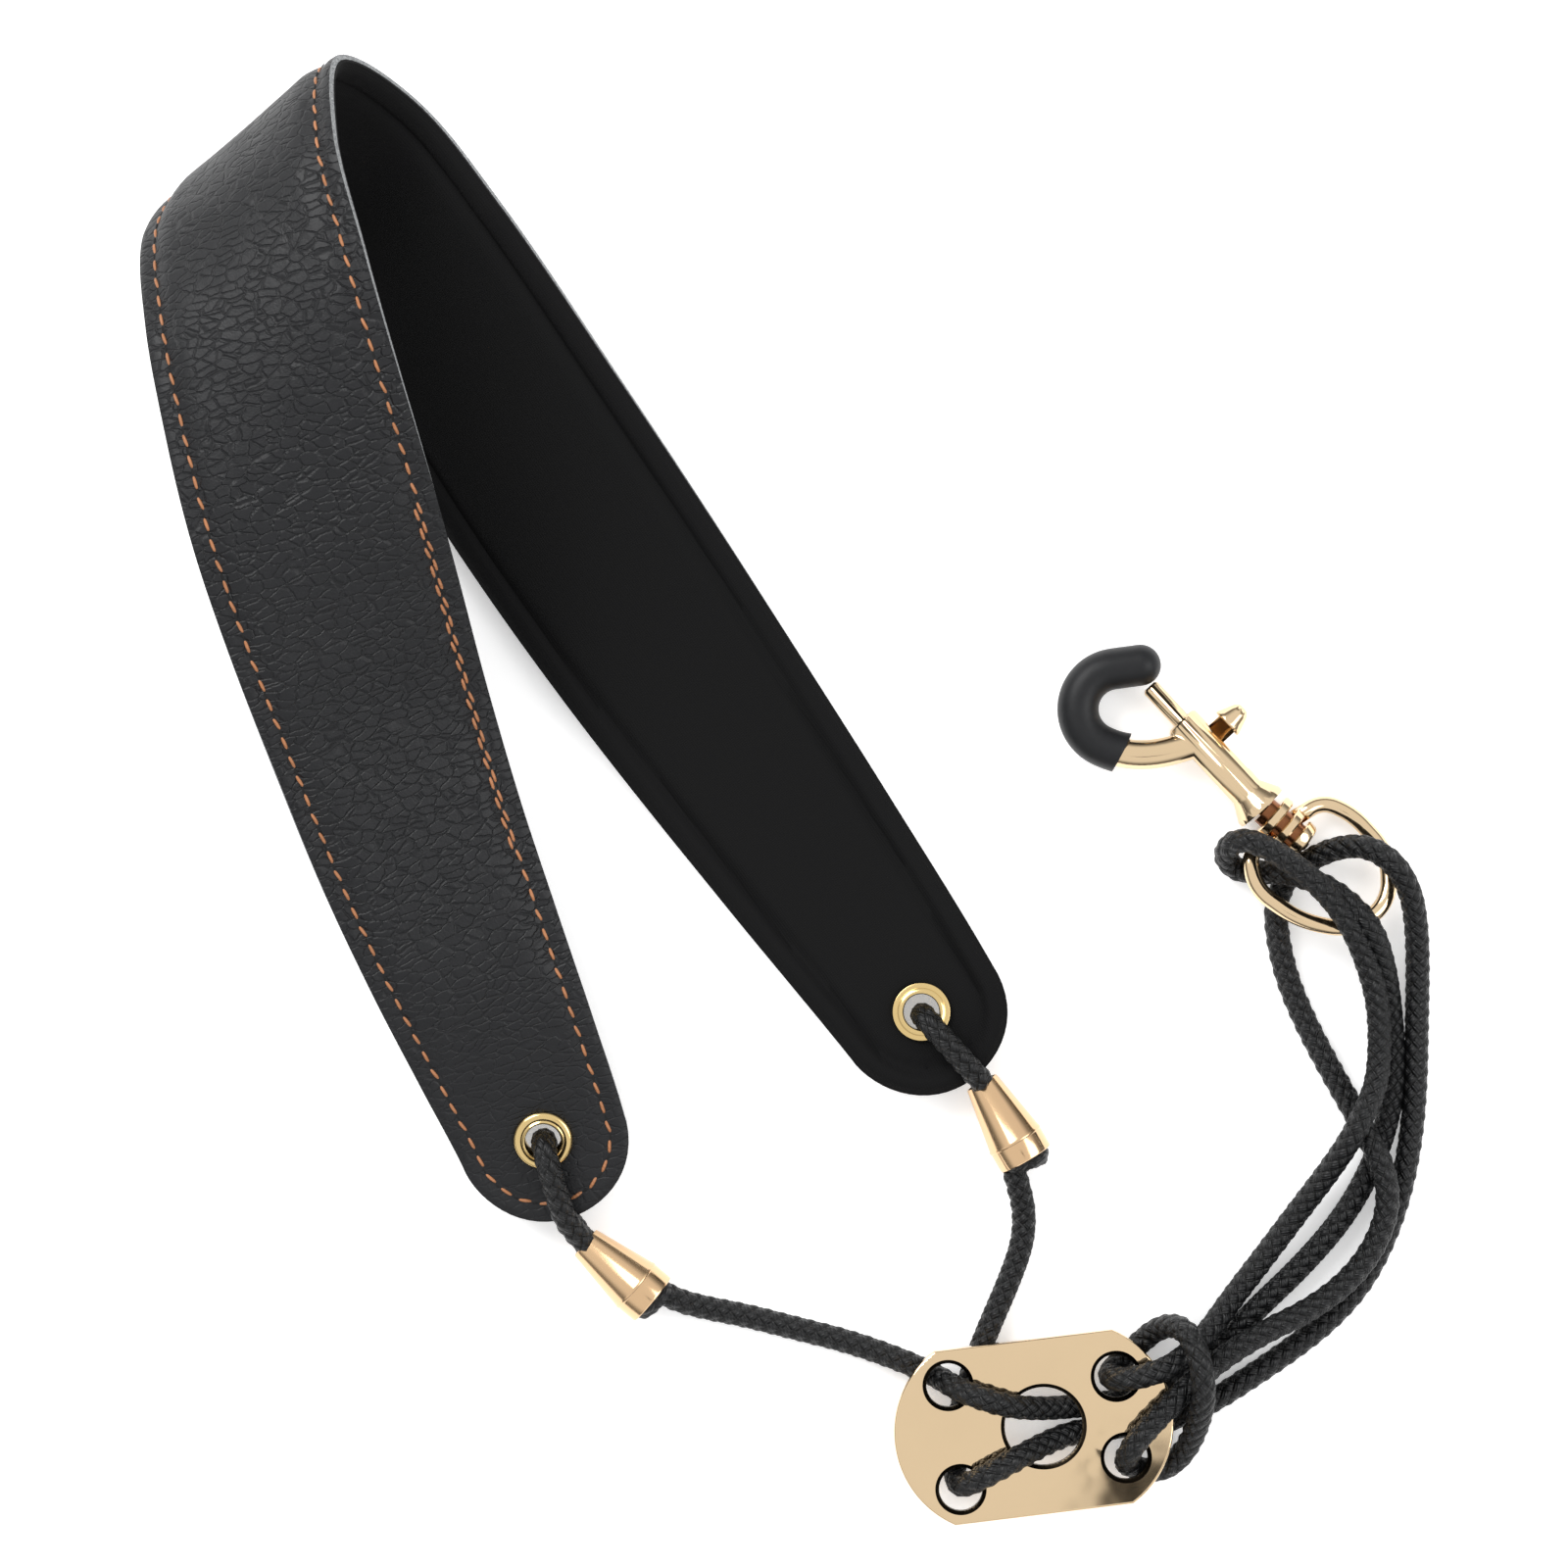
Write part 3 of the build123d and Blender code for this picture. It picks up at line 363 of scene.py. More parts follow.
def needle_hole():
    """Shaded needle hole with a few black fibres: dull, nearly black."""
    made, tree, shader = new_material("needle hole")
    place = add_node(tree, "ShaderNodeTexCoord").outputs["Object"]
    fibre = add_node(tree, "ShaderNodeTexNoise", {"Vector": place, "Scale": 1800.0, "Detail": 2.0})
    colour = add_node(tree, "ShaderNodeMix", {
        "Factor": fibre.outputs[0], 6: linear("#030303"), 7: linear("#0C0B0B")}, data_type="RGBA")
    tree.links.new(colour.outputs[2], shader.inputs["Base Color"])
    set_inputs(shader, Roughness=0.85)
    return made


def braided_nylon(colours):
    """Black nylon braid: each plait shows a few glossy parallel yarns, with painted shade where it dives under and
    painted light on its tops.
    """
    made, tree, shader = new_material("braided nylon")
    braid = add_node(tree, "ShaderNodeUVMap", uv_map="braid").outputs["UV"]
    split = add_node(tree, "ShaderNodeSeparateXYZ", {"Vector": braid})

    def reckon(operation, first, second=0.0):
        return add_node(tree, "ShaderNodeMath", {0: first, 1: second}, operation=operation).outputs[0]

    left = reckon("ADD", split.outputs["X"], split.outputs["Y"])
    right = reckon("SUBTRACT", split.outputs["X"], split.outputs["Y"])
    parity = reckon("MODULO", reckon("ADD", reckon("FLOOR", left), reckon("FLOOR", right)), 2.0)
    parity = reckon("ABSOLUTE", parity)
    along = add_node(tree, "ShaderNodeMix", {"Factor": parity, 2: left, 3: right}, data_type="FLOAT")
    yarns = reckon("SINE", reckon("MULTIPLY", along.outputs[0], 4 * math.tau))
    dome = reckon(
        "MULTIPLY",
        reckon("ABSOLUTE", reckon("SINE", reckon("MULTIPLY", left, math.pi))),
        reckon("ABSOLUTE", reckon("SINE", reckon("MULTIPLY", right, math.pi))),
    )
    dome = reckon("POWER", dome, 0.5)
    height = reckon("ADD", dome, reckon("MULTIPLY", yarns, 0.12))
    bump = add_node(tree, "ShaderNodeBump", {"Height": height, "Strength": 0.9, "Distance": 0.0004})
    # Painted shade and light: the colour runs from a twentieth of the cord colour where the plaits dive under to 1.3
    # times it on their domed tops, with the yarns striped in.
    shade = add_node(tree, "ShaderNodeMapRange", {
        "Value": reckon("ADD", dome, reckon("MULTIPLY", yarns, 0.1)), "From Max": 1.0})
    colour = add_node(tree, "ShaderNodeMix", {
        "Factor": shade.outputs[0], 6: darker(colours.cord, 0.05), 7: darker(colours.cord, 1.3)},
        data_type="RGBA")
    tree.links.new(colour.outputs[2], shader.inputs["Base Color"])
    tree.links.new(bump.outputs[0], shader.inputs["Normal"])
    set_inputs(shader, Roughness=0.42, IOR=1.42)
    return made


def plated_metal(name, colour, polish=0.10):
    """Electroplated and polished metal: mirror gloss with faint handling haze."""
    made, tree, shader = new_material(name)
    place = add_node(tree, "ShaderNodeTexCoord").outputs["Object"]
    haze = add_node(tree, "ShaderNodeTexNoise", {"Vector": place, "Scale": 60.0, "Detail": 4.0})
    rough = add_node(tree, "ShaderNodeMapRange", {
        "Value": haze.outputs[0], "From Min": 0.3, "From Max": 0.75,
        "To Min": polish, "To Max": polish + 0.07})
    ripple = add_node(tree, "ShaderNodeTexNoise", {"Vector": place, "Scale": 130.0, "Detail": 1.0})
    bump = add_node(tree, "ShaderNodeBump", {
        "Height": ripple.outputs[0], "Strength": 0.12, "Distance": 0.0002})
    tree.links.new(rough.outputs[0], shader.inputs["Roughness"])
    tree.links.new(bump.outputs[0], shader.inputs["Normal"])
    tint = add_node(tree, "ShaderNodeMix", {
        "Factor": haze.outputs[0], 6: darker(colour, 0.93), 7: colour[:]}, data_type="RGBA")
    tree.links.new(tint.outputs[2], shader.inputs["Base Color"])
    set_inputs(shader, Metallic=1.0)
    return made


def dipped_rubber():
    """Black dipped rubber: matt and a little dusty."""
    made, tree, shader = new_material("black rubber sleeve")
    place = add_node(tree, "ShaderNodeTexCoord").outputs["Object"]
    dust = add_node(tree, "ShaderNodeTexNoise", {
        "Vector": place, "Scale": 700.0, "Detail": 5.0, "Roughness": 0.7})
    colour = add_node(tree, "ShaderNodeMix", {
        "Factor": dust.outputs[0], 6: linear("#0B0C0E"), 7: linear("#16171A")}, data_type="RGBA")
    bump = add_node(tree, "ShaderNodeBump", {
        "Height": dust.outputs[0], "Strength": 0.3, "Distance": 0.0002})
    tree.links.new(colour.outputs[2], shader.inputs["Base Color"])
    tree.links.new(bump.outputs[0], shader.inputs["Normal"])
    set_inputs(shader, Roughness=0.46, IOR=1.38)
    return made


def spring_wire():
    """Drawn spring steel: satin grey with fine lines along the wire."""
    made, tree, shader = new_material("drawn spring steel")
    place = add_node(tree, "ShaderNodeTexCoord").outputs["Object"]
    draw = add_node(tree, "ShaderNodeTexNoise", {"Vector": place, "Scale": 1500.0, "Detail": 3.0})
    rough = add_node(tree, "ShaderNodeMapRange", {
        "Value": draw.outputs[0], "To Min": 0.25, "To Max": 0.45})
    tree.links.new(rough.outputs[0], shader.inputs["Roughness"])
    set_inputs(shader, Metallic=1.0, Base_Color=linear("#A9A9A6"))
    return made


def paper_floor():
    made, tree, shader = new_material("white paper sweep")
    tooth = add_node(tree, "ShaderNodeTexNoise", {
        "Vector": add_node(tree, "ShaderNodeTexCoord").outputs["Object"], "Scale": 40.0})
    tone = add_node(tree, "ShaderNodeMix", {
        "Factor": tooth.outputs[0], 6: linear("#FAFAFA"), 7: linear("#FFFFFF")}, data_type="RGBA")
    tree.links.new(tone.outputs[2], shader.inputs["Base Color"])
    set_inputs(shader, Roughness=0.9, Emission_Color=linear("#FFFFFF"), Emission_Strength=0.35)
    return made


# Mesh helpers

def deselect():
    if bpy.context.object and bpy.context.object.mode != "OBJECT":
        bpy.ops.object.mode_set(mode="OBJECT")
    bpy.ops.object.select_all(action="DESELECT")


def activate(piece):
    deselect()
    piece.select_set(True)
    bpy.context.view_layer.objects.active = piece


def mesh_piece(name, corners, faces, material, smooth=True):
    mesh = bpy.data.meshes.new(name)
    mesh.from_pydata([tuple(map(float, c)) for c in corners], [], faces)
    mesh.update()
    piece = bpy.data.objects.new(name, mesh)
    bpy.context.scene.collection.objects.link(piece)
    for each in material if isinstance(material, (list, tuple)) else [material]:
        mesh.materials.append(each)
    if smooth:
        mesh.polygons.foreach_set("use_smooth", [True] * len(mesh.polygons))
    return piece


def modified(piece, kind, **settings):
    """Adds a modifier and applies it."""
    activate(piece)
    added = piece.modifiers.new(kind.title(), kind)
    for name, value in settings.items():
        setattr(added, name, value)
    bpy.ops.object.modifier_apply(modifier=added.name)


def recalculated(piece):
    activate(piece)
    bpy.ops.object.mode_set(mode="EDIT")
    bpy.ops.mesh.select_all(action="SELECT")
    bpy.ops.mesh.remove_doubles(threshold=1e-6)
    bpy.ops.mesh.normals_make_consistent(inside=False)
    bpy.ops.object.mode_set(mode="OBJECT")


def turned_frame(place, yaw):
    """Matrix at a place in metres whose X is turned by yaw about the vertical."""
    return Matrix.Translation(Vector(place)) @ Matrix.Rotation(math.radians(yaw), 4, "Z")


def spun_piece(name, profile, at, material, steps=72):
    """Turns a closed profile of (along, radius) points in mm about X, then puts it in place."""
    mesh = bpy.data.meshes.new(name)
    corners = [(x * MM, 0.0, max(r, 0.0) * MM) for x, r in profile]
    mesh.from_pydata(corners, [(i, (i + 1) % len(corners)) for i in range(len(corners))], [])
    piece = bpy.data.objects.new(name, mesh)
    bpy.context.scene.collection.objects.link(piece)
    mesh.materials.append(material)
    activate(piece)
    bpy.ops.object.mode_set(mode="EDIT")
    bpy.ops.mesh.select_all(action="SELECT")
    bpy.ops.mesh.spin(steps=steps, angle=math.tau, center=(0, 0, 0), axis=(1, 0, 0))
    bpy.ops.object.mode_set(mode="OBJECT")
    recalculated(piece)
    piece.data.transform(at)
    activate(piece)
    bpy.ops.object.shade_smooth_by_angle(angle=math.radians(32))
    return piece


# Cords

def route_line(name, points):
    """Smooth line of a cord: a NURBS spline with the route's points as control points."""
    curve = bpy.data.curves.new(name, "CURVE")
    curve.dimensions = "3D"
    curve.resolution_u = 10
    spline = curve.splines.new("NURBS")
    spline.points.add(len(points) - 1)
    for control, point in zip(spline.points, points):
        control.co = (*point, 1.0)
    spline.order_u = 3
    spline.use_endpoint_u = True
    holder = bpy.data.objects.new(name, curve)
    bpy.context.scene.collection.objects.link(holder)
    bpy.context.view_layer.update()
    traced = bpy.data.meshes.new_from_object(holder)
    line = np.array([v.co[:] for v in traced.vertices])
    bpy.data.meshes.remove(traced)
    bpy.data.objects.remove(holder)
    bpy.data.curves.remove(curve)
    return line


def evenly(line, pitch):
    """The same line with its points a pitch apart."""
    steps = np.linalg.norm(np.diff(line, axis=0), axis=1)
    keep = np.concatenate(([True], steps > 1e-9))
    line = line[keep]
    run = np.concatenate(([0.0], np.cumsum(np.linalg.norm(np.diff(line, axis=0), axis=1))))
    count = max(2, int(round(run[-1] / pitch)))
    at = np.linspace(0, run[-1], count + 1)
    return np.stack([np.interp(at, run, line[:, k]) for k in range(3)], axis=1), run[-1]


def ring_frames(line):
    """Two directions square to the line at each point, carried along it without twist."""
    along = np.gradient(line, axis=0)
    along /= np.linalg.norm(along, axis=1)[:, None]
    side = np.cross(along[0], (0.0, 0.0, 1.0))
    sides = []
    for direction in along:
        side = side - direction * np.dot(side, direction)
        side = side / np.linalg.norm(side)
        sides.append(side)
    sides = np.array(sides)
    return sides, np.cross(along, sides)


def braided_cord(name, line, sizes, material, relief=0.14, closed_ends=True):
    """Tube along a line with the plaits of the braid raised on it."""
    radius, around = sizes.cord_diameter / 2, 4 * sizes.braid_plaits
    path, length = evenly(line, sizes.braid_cell / 6)
    sides, ups = ring_frames(path)
    cells_along = np.linspace(0, length / sizes.braid_cell, len(path))
    cells_around = np.arange(around) * sizes.braid_plaits / around
    left = cells_around[None, :] + cells_along[:, None]
    right = cells_around[None, :] - cells_along[:, None]
    dome = np.sqrt(np.abs(np.sin(np.pi * left) * np.sin(np.pi * right)))
    reach = radius * (1 - relief + 1.35 * relief * dome)
    turn = np.arange(around) * math.tau / around
    corners = (
        path[:, None, :]
        + reach[:, :, None] * (
            np.cos(turn)[None, :, None] * sides[:, None, :]
            + np.sin(turn)[None, :, None] * ups[:, None, :]
        )
    ).reshape(-1, 3)
    faces, wraps = [], []
    for i in range(len(path) - 1):
        for j in range(around):
            k = (j + 1) % around
            faces.append((i * around + j, i * around + k, (i + 1) * around + k, (i + 1) * around + j))
    last = (len(path) - 1) * around
    if closed_ends:
        faces.append(tuple(reversed(range(around))))
        faces.append(tuple(range(last, last + around)))
    piece = mesh_piece(name, corners, faces, material)
    layer = piece.data.uv_layers.new(name="braid")
    for i in range(len(path) - 1):
        low, high = cells_along[i], cells_along[i + 1]
        for j in range(around):
            u, v = cells_around[j], cells_around[j] + sizes.braid_plaits / around
            wraps += [u, low, v, low, v, high, u, high]
    if closed_ends:
        wraps += [0.0, 0.0] * (2 * around)
    layer.data.foreach_set("uv", wraps)
    recalculated_outward(piece)
    return piece, path, length


def recalculated_outward(piece):
    activate(piece)
    bpy.ops.object.mode_set(mode="EDIT")
    bpy.ops.mesh.select_all(action="SELECT")
    bpy.ops.mesh.normals_make_consistent(inside=False)
    bpy.ops.object.mode_set(mode="OBJECT")


def knot_points(place, yaw):
    """Turns of an overhand knot that fill the mouth of a bell cone."""
    local = (
        (12.5, 0.0, 0.0), (14.5, 2.0, 1.6), (15.6, 2.6, -1.4), (16.6, 0.4, -2.9),
        (17.2, -2.5, -1.3), (17.4, -2.4, 1.7), (17.8, 0.6, 2.7), (18.4, 2.8, 0.6),
        (18.2, 1.4, -2.3), (17.2, -1.8, -2.2), (16.0, -1.2, 0.4), (14.2, 0.0, 0.4),
    )
    at = turned_frame([c * MM for c in place], yaw)
    return [tuple(at @ Vector([c * MM for c in point])) for point in local]


class STRAP_OT_braided_cord(bpy.types.Operator):
    """Lay the long cord and the two short loops through the eyelets, with their knots"""
    bl_idname = "strap.braided_cord"
    bl_label = "Braided cord"

    def execute(self, context):
        sizes, nylon = context.scene.strap_sizes, braided_nylon(context.scene.strap_colours)
        knots = []
        for side, (place, yaw) in (("left", LEFT_BELL), ("right", RIGHT_BELL)):
            line = route_line(f"{side}_knot_line", knot_points(place, yaw))
            knot, _, _ = braided_cord(f"{side}_knot", line, sizes, nylon)
            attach(knot, STRAP)
            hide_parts(f"{side}_stopper_knot")
            knots.append(knot)
        long_cord, path, length = braided_cord(
            "long_cord", route_line("long_line", LONG_CORD), sizes, nylon)
        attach(long_cord, STRAP)
        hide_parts("cord_left_lead", "cord_upper_bight", "cord_wrap",
                    "cord_lower_bight", "cord_right_lead")
        tuple(path[0])
        print("long cord", round(length, 4))
        for side, points in (("left", LEFT_LOOP), ("right", RIGHT_LOOP)):
            loop, path, length = braided_cord(
                f"{side}_eyelet_loop", route_line(f"{side}_loop_line", points), sizes, nylon)
            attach(loop, STRAP)
            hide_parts(f"cord_{side}_loop")
            tuple(path[0])
            print(side, "loop", round(length, 4))
        return {"FINISHED"}


class STRAP_OT_bell_cones(bpy.types.Operator):
    """Turn the two bell cones that cover the knots"""
    bl_idname = "strap.bell_cones"
    bl_label = "Bell cones"

    def execute(self, context):
        gold = plated_metal("rose gold plate", context.scene.strap_colours.bells, 0.13)
        outer = (
            (0.0, 3.25), (0.12, 3.42), (0.4, 3.5), (13.0, 5.72), (13.25, 5.86), (13.5, 5.9),
            (13.75, 5.84), (13.85, 5.74), (17.6, 5.74), (17.88, 5.66), (18.0, 5.5),
        )
        inner = ((17.9, 5.25), (13.4, 5.2), (0.3, 3.0), (0.05, 3.05))
        for side, (place, yaw) in (("left", LEFT_BELL), ("right", RIGHT_BELL)):
            at = turned_frame([c * MM for c in place], yaw)
            cone = spun_piece(f"{side}_bell_cone", outer + inner, at, gold)
            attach(cone, STRAP)
            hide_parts(f"{side}_bell")
        return {"FINISHED"}


# Neck band

def band_line():
    """Middle of the band as a function of the distance along it in mm, and its length."""
    distance = [0.0]
    for a, b in zip(BAND_LINE, BAND_LINE[1:]):
        distance.append(distance[-1] + math.dist(a[:3], b[:3]))

    def slope(i, k):
        low, high = max(i - 1, 0), min(i + 1, len(BAND_LINE) - 1)
        return (BAND_LINE[high][k] - BAND_LINE[low][k]) / (distance[high] - distance[low])

    def at(s):
        i = max(j for j in range(len(BAND_LINE) - 1) if distance[j] <= s or j == 0)
        span = distance[i + 1] - distance[i]
        u = min(max((s - distance[i]) / span, 0.0), 1.0)
        a, b = (2 * u - 3) * u * u + 1, ((u - 2) * u + 1) * u * span
        c, d = (3 - 2 * u) * u * u, (u - 1) * u * u * span
        return [
            a * BAND_LINE[i][k] + b * slope(i, k) + c * BAND_LINE[i + 1][k] + d * slope(i + 1, k)
            for k in range(5)
        ]

    return at, distance[-1]


BAND_AT, BAND_LENGTH = band_line()


def band_frame(s):
    """Middle, direction across and direction out of the leather at distance s in mm."""
    x, y, z, yaw, tilt = BAND_AT(s)
    ahead, behind = BAND_AT(min(s + 0.5, BAND_LENGTH)), BAND_AT(max(s - 0.5, 0.0))
    along = (Vector(ahead[:3]) - Vector(behind[:3])).normalized()
    yaw, tilt = math.radians(yaw), math.radians(tilt)
    across = Vector((math.cos(yaw) * math.cos(tilt), math.sin(yaw) * math.cos(tilt), math.sin(tilt)))
    out = across.cross(along).normalized()
    return Vector((x, y, z)), along.cross(out).normalized(), out


def from_tip(s):
    return min(s, BAND_LENGTH - s)


def smooth(u):
    u = min(max(u, 0.0), 1.0)
    return u * u * (3 - 2 * u)


def half_width(s, sizes, inset=0.0):
    """Half of the band's width at distance s, less an inset, with its rounded tip."""
    wide, narrow = sizes.band_width / MM, sizes.band_end_width / MM
    tip = from_tip(s)
    taper = min(max((TAPER_LENGTH + EYELET_INSET - tip) / TAPER_LENGTH, 0.0), 1.0)
    half = (wide - (wide - narrow) * taper ** TAPER_POWER) / 2 - inset
    if tip < EYELET_INSET:
        radius = narrow / 2 - inset
        half = math.sqrt(max(radius ** 2 - (EYELET_INSET - tip) ** 2, 0.0))
    return half


def edge_distance(s, y, sizes):
    """How far a place on the band is from its outline, in mm."""
    tip = from_tip(s)
    if tip < EYELET_INSET:
        return sizes.band_end_width / MM / 2 - math.hypot(y, EYELET_INSET - tip)
    return half_width(s, sizes) - abs(y)


def foam_height(s):
    return FOAM_THICKNESS * smooth((from_tip(s) - FOAM_STOP) / FOAM_RAMP)


def swell(s, y, sizes):
    """Half of the foam's height at a place, nothing where the edges are sewn together."""
    return foam_height(s) / 2 * smooth((edge_distance(s, y, sizes) - 2.0) / 7.0)


def pressed(s, y):
    """How far the eyelet has pressed the band in at a place, in mm."""
    away = math.hypot(from_tip(s) - EYELET_INSET, y)
    return 0.4 * (1 - smooth((away - 5.6) / 2.4))


def leather_top(s, y, sizes):
    d = edge_distance(s, y, sizes)
    seam = math.exp(-((d - sizes.seam_inset / MM) / 1.1) ** 2)
    edge = 0.35 * (1 - smooth(d / 1.2))
    return swell(s, y, sizes) + LEATHER_THICKNESS - 0.30 * seam - edge - pressed(s, y)


def lining_bottom(s, y, sizes):
    d = edge_distance(s, y, sizes)
    groove = math.exp(-((d - 5.4) / 0.9) ** 2)
    puffed = 0.8 * smooth(d / 2.0) * (1 - smooth((d - 3.6) / 1.6))
    rounded = 0.3 * (1 - smooth(d / 1.4))
    return -swell(s, y, sizes) - LINING_THICKNESS - puffed + 0.7 * groove + rounded + pressed(s, y)


def rows_along(inset):
    """Distances along the band, close together at its rounded tips."""
    first = EYELET_INSET - inset_radius(inset)
    tip = [first + (EYELET_INSET - first) * (1 - math.cos(math.pi / 2 * i / 14)) for i in range(14)]
    count = 290
    middle = [EYELET_INSET + (BAND_LENGTH - 2 * EYELET_INSET) * i / count for i in range(count + 1)]
    return tip + middle + [BAND_LENGTH - s for s in reversed(tip)]


def inset_radius(inset):
    return TIP_RADIUS - inset


def strip(name, inset, bottom, top, sizes, materials, columns=40):
    """Closed strip along the band between two surfaces, with its outline rounded at both tips."""
    rows, corners, grain, cloth = rows_along(inset), [], [], []
    for s in rows:
        middle, across, out = band_frame(s)
        half = half_width(s, sizes, inset)
        spread = [-math.cos(math.pi * j / columns) for j in range(columns + 1)]
        spread = [0.45 * c + 0.55 * (2 * j / columns - 1) for j, c in enumerate(spread)]
        ring = [(half * c, top(s, half * c, sizes)) for c in spread]
        ring += [(half * c, bottom(s, half * c, sizes)) for c in reversed(spread)]
        for y, height in ring:
            corners.append((middle + across * y + out * height) * MM)
            grain.append(0.3 + 0.7 * smooth((from_tip(s) - 20) / 60))
            cloth.append((y * MM, s * MM))
    wide = 2 * columns + 2
    faces, kinds = [], []
    for i in range(len(rows) - 1):
        for j in range(wide):
            k = (j + 1) % wide
            faces.append((i * wide + j, i * wide + k, (i + 1) * wide + k, (i + 1) * wide + j))
            kinds.append(1 if j in (columns, wide - 1) else 0)
    last = (len(rows) - 1) * wide
    for start in (0, last):
        for j in range(columns):
            faces.append((start + j, start + j + 1, start + wide - 2 - j, start + wide - 1 - j))
            kinds.append(1)
    piece = mesh_piece(name, corners, faces, materials)
    mesh = piece.data
    if len(materials) > 1:
        mesh.polygons.foreach_set("material_index", kinds)
    layer = mesh.uv_layers.new(name="cloth")
    for loop in mesh.loops:
        layer.data[loop.index].uv = cloth[loop.vertex_index]
    mark = mesh.attributes.new("grain", "FLOAT", "POINT")
    mark.data.foreach_set("value", grain)
    recalculated(piece)
    return piece


def punched(piece, radius=EYELET_HOLE_RADIUS):
    """Punches the two eyelet holes through a strip."""
    for s in (EYELET_INSET, BAND_LENGTH - EYELET_INSET):
        middle, across, out = band_frame(s)
        deselect()
        bpy.ops.mesh.primitive_cylinder_add(vertices=48, radius=radius * MM, depth=14 * MM)
        punch = bpy.context.object
        turn = out.to_track_quat("Z", "Y").to_matrix().to_4x4()
        punch.data.transform(Matrix.Translation(middle * MM) @ turn)
        modified(piece, "BOOLEAN", operation="DIFFERENCE", object=punch, solver="EXACT")
        bpy.data.objects.remove(punch)
    activate(piece)
    bpy.ops.object.shade_smooth_by_angle(angle=math.radians(50))
    return piece


class STRAP_OT_neck_band(bpy.types.Operator):
    """Cut and pad the leather face and its knitted lining"""
    bl_idname = "strap.neck_band"
    bl_label = "Neck band"

    def execute(self, context):
        sizes, colours = context.scene.strap_sizes, context.scene.strap_colours
        face = strip("leather_band", 0.0, swell, leather_top, sizes,
                     [pebbled_leather(colours), raw_edge()])
        punched(face)
        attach(face, STRAP)
        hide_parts("leather_face")
        cloth = strip("knit_lining", 0.05, lining_bottom,
                      lambda s, y, sizes: -swell(s, y, sizes) - 0.01, sizes, [knitted_lining(colours)])
        punched(cloth)
        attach(cloth, STRAP)
        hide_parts("lining", "foam_pad")
        return {"FINISHED"}


def seam_places(inset, start, end, sizes, offset=0.0):
    """Stitches along both long sides and round both tips at an inset: middle, direction, out."""
    pitch = sizes.stitch_pitch / MM
    outline = []
    for side in (-1, 1):
        run = []
        s = 0.0
        while s <= BAND_LENGTH:
            half = half_width(s, sizes, inset)
            if from_tip(s) >= EYELET_INSET - inset_radius(inset) and half > 0:
                run.append((s, side * half))
            s += 0.4 if from_tip(s) < EYELET_INSET + 2 else 1.0
        outline.append(run)
    places = []
    for run in outline:
        points = []
        for s, y in run:
            middle, across, out = band_frame(s)
            points.append((middle + across * y + out * (leather_top(s, y, sizes)), out, s))
        travelled, due = 0.0, offset
        for (a, out, s), (b, _, _) in zip(points, points[1:]):
            step = (b - a).length
            while travelled + step >= due:
                u = (due - travelled) / step
                if start <= s <= end:
                    places.append((a.lerp(b, u), (b - a).normalized(), out, math.copysign(1, run[len(run) // 2][1])))
                due += pitch
            travelled += step
    return places


class STRAP_OT_stitching(bpy.types.Operator):
    """Sew the band's seam, one stitch at a time"""
    bl_idname = "strap.stitching"
    bl_label = "Stitching"

    def execute(self, context):
        sizes = context.scene.strap_sizes
        deselect()
        bpy.ops.mesh.primitive_uv_sphere_add(segments=8, ring_count=8, radius=0.5)
        stitch = bpy.context.object
        shape = np.array([v.co[:] for v in stitch.data.vertices])
        cells = [tuple(p.vertices) for p in stitch.data.polygons]
        bpy.data.objects.remove(stitch)
        # A stitch is a round thread that dips into the hide at both ends.
        shape[:, 2] = np.sign(shape[:, 2]) * np.abs(2 * shape[:, 2]) ** 0.6 / 2
        inset = sizes.seam_inset / MM
        places = seam_places(inset, 0.0, BAND_LENGTH, sizes)
        doubled = seam_places(inset + 0.85, 74.0, 152.0, sizes, offset=1.9)
        places += [p for p in doubled if p[3] > 0]
        corners, faces = [], []
        thick, long = sizes.thread_diameter / MM, 0.69 * sizes.stitch_pitch / MM
        for n, (middle, along, out, side) in enumerate(places):
            skew = 0.10 * math.sin(2.3 * n) + 0.12
            along = (along + out.cross(along) * skew).normalized()
            beside = out.cross(along).normalized()
            base = len(corners)
            for x, y, z in shape:
                dip = 0.28 * (2 * z) ** 2
                spot = middle + along * (z * long) + beside * (x * thick) + out * (y * thick * 0.8 + 0.12 - dip)
                corners.append(spot * MM)
            faces += [tuple(base + i for i in cell) for cell in cells]
        kinds = [0] * len(faces)
        # Dark discs laid in the gaps between stitches, in the near-black needle-hole material: painted shade of the
        # needle holes.
        for middle, along, out, side in places:
            beside = out.cross(along)
            base = len(corners)
            gap = middle + along * (sizes.stitch_pitch / MM / 2)
            for x, y, z in shape:
                corners.append((gap + along * (z * 1.5) + beside * (x * 0.62) + out * (y * 0.24 - 0.02)) * MM)
            faces += [tuple(base + i for i in cell) for cell in cells]
        kinds += [1] * (len(faces) - len(kinds))
        colours = context.scene.strap_colours
        seam = mesh_piece("seam_stitches", corners, faces, [sewing_thread(colours), needle_hole()])
        seam.data.polygons.foreach_set("material_index", kinds)
        recalculated_outward(seam)
        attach(seam, STRAP)
        return {"FINISHED"}


# Metal parts carried over from the frame

def smooth_copy(node, body, materials, choose=None, angle=34):
    """Merged, smooth-shaded copy of a CAD node; choose gives a face's material from its place."""
    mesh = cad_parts[node].data.copy()
    piece = bpy.data.objects.new(f"{node}_finished", mesh)
    bpy.context.scene.collection.objects.link(piece)
    mesh.materials.clear()
    for each in materials:
        mesh.materials.append(each)
    recalculated(piece)
    if choose:
        mesh.polygons.foreach_set("material_index", [
            choose(face.center / MM, face.normal) for face in mesh.polygons])
    activate(piece)
    bpy.ops.object.shade_smooth_by_angle(angle=math.radians(angle))
    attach(piece, body)
    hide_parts(node)
    return piece


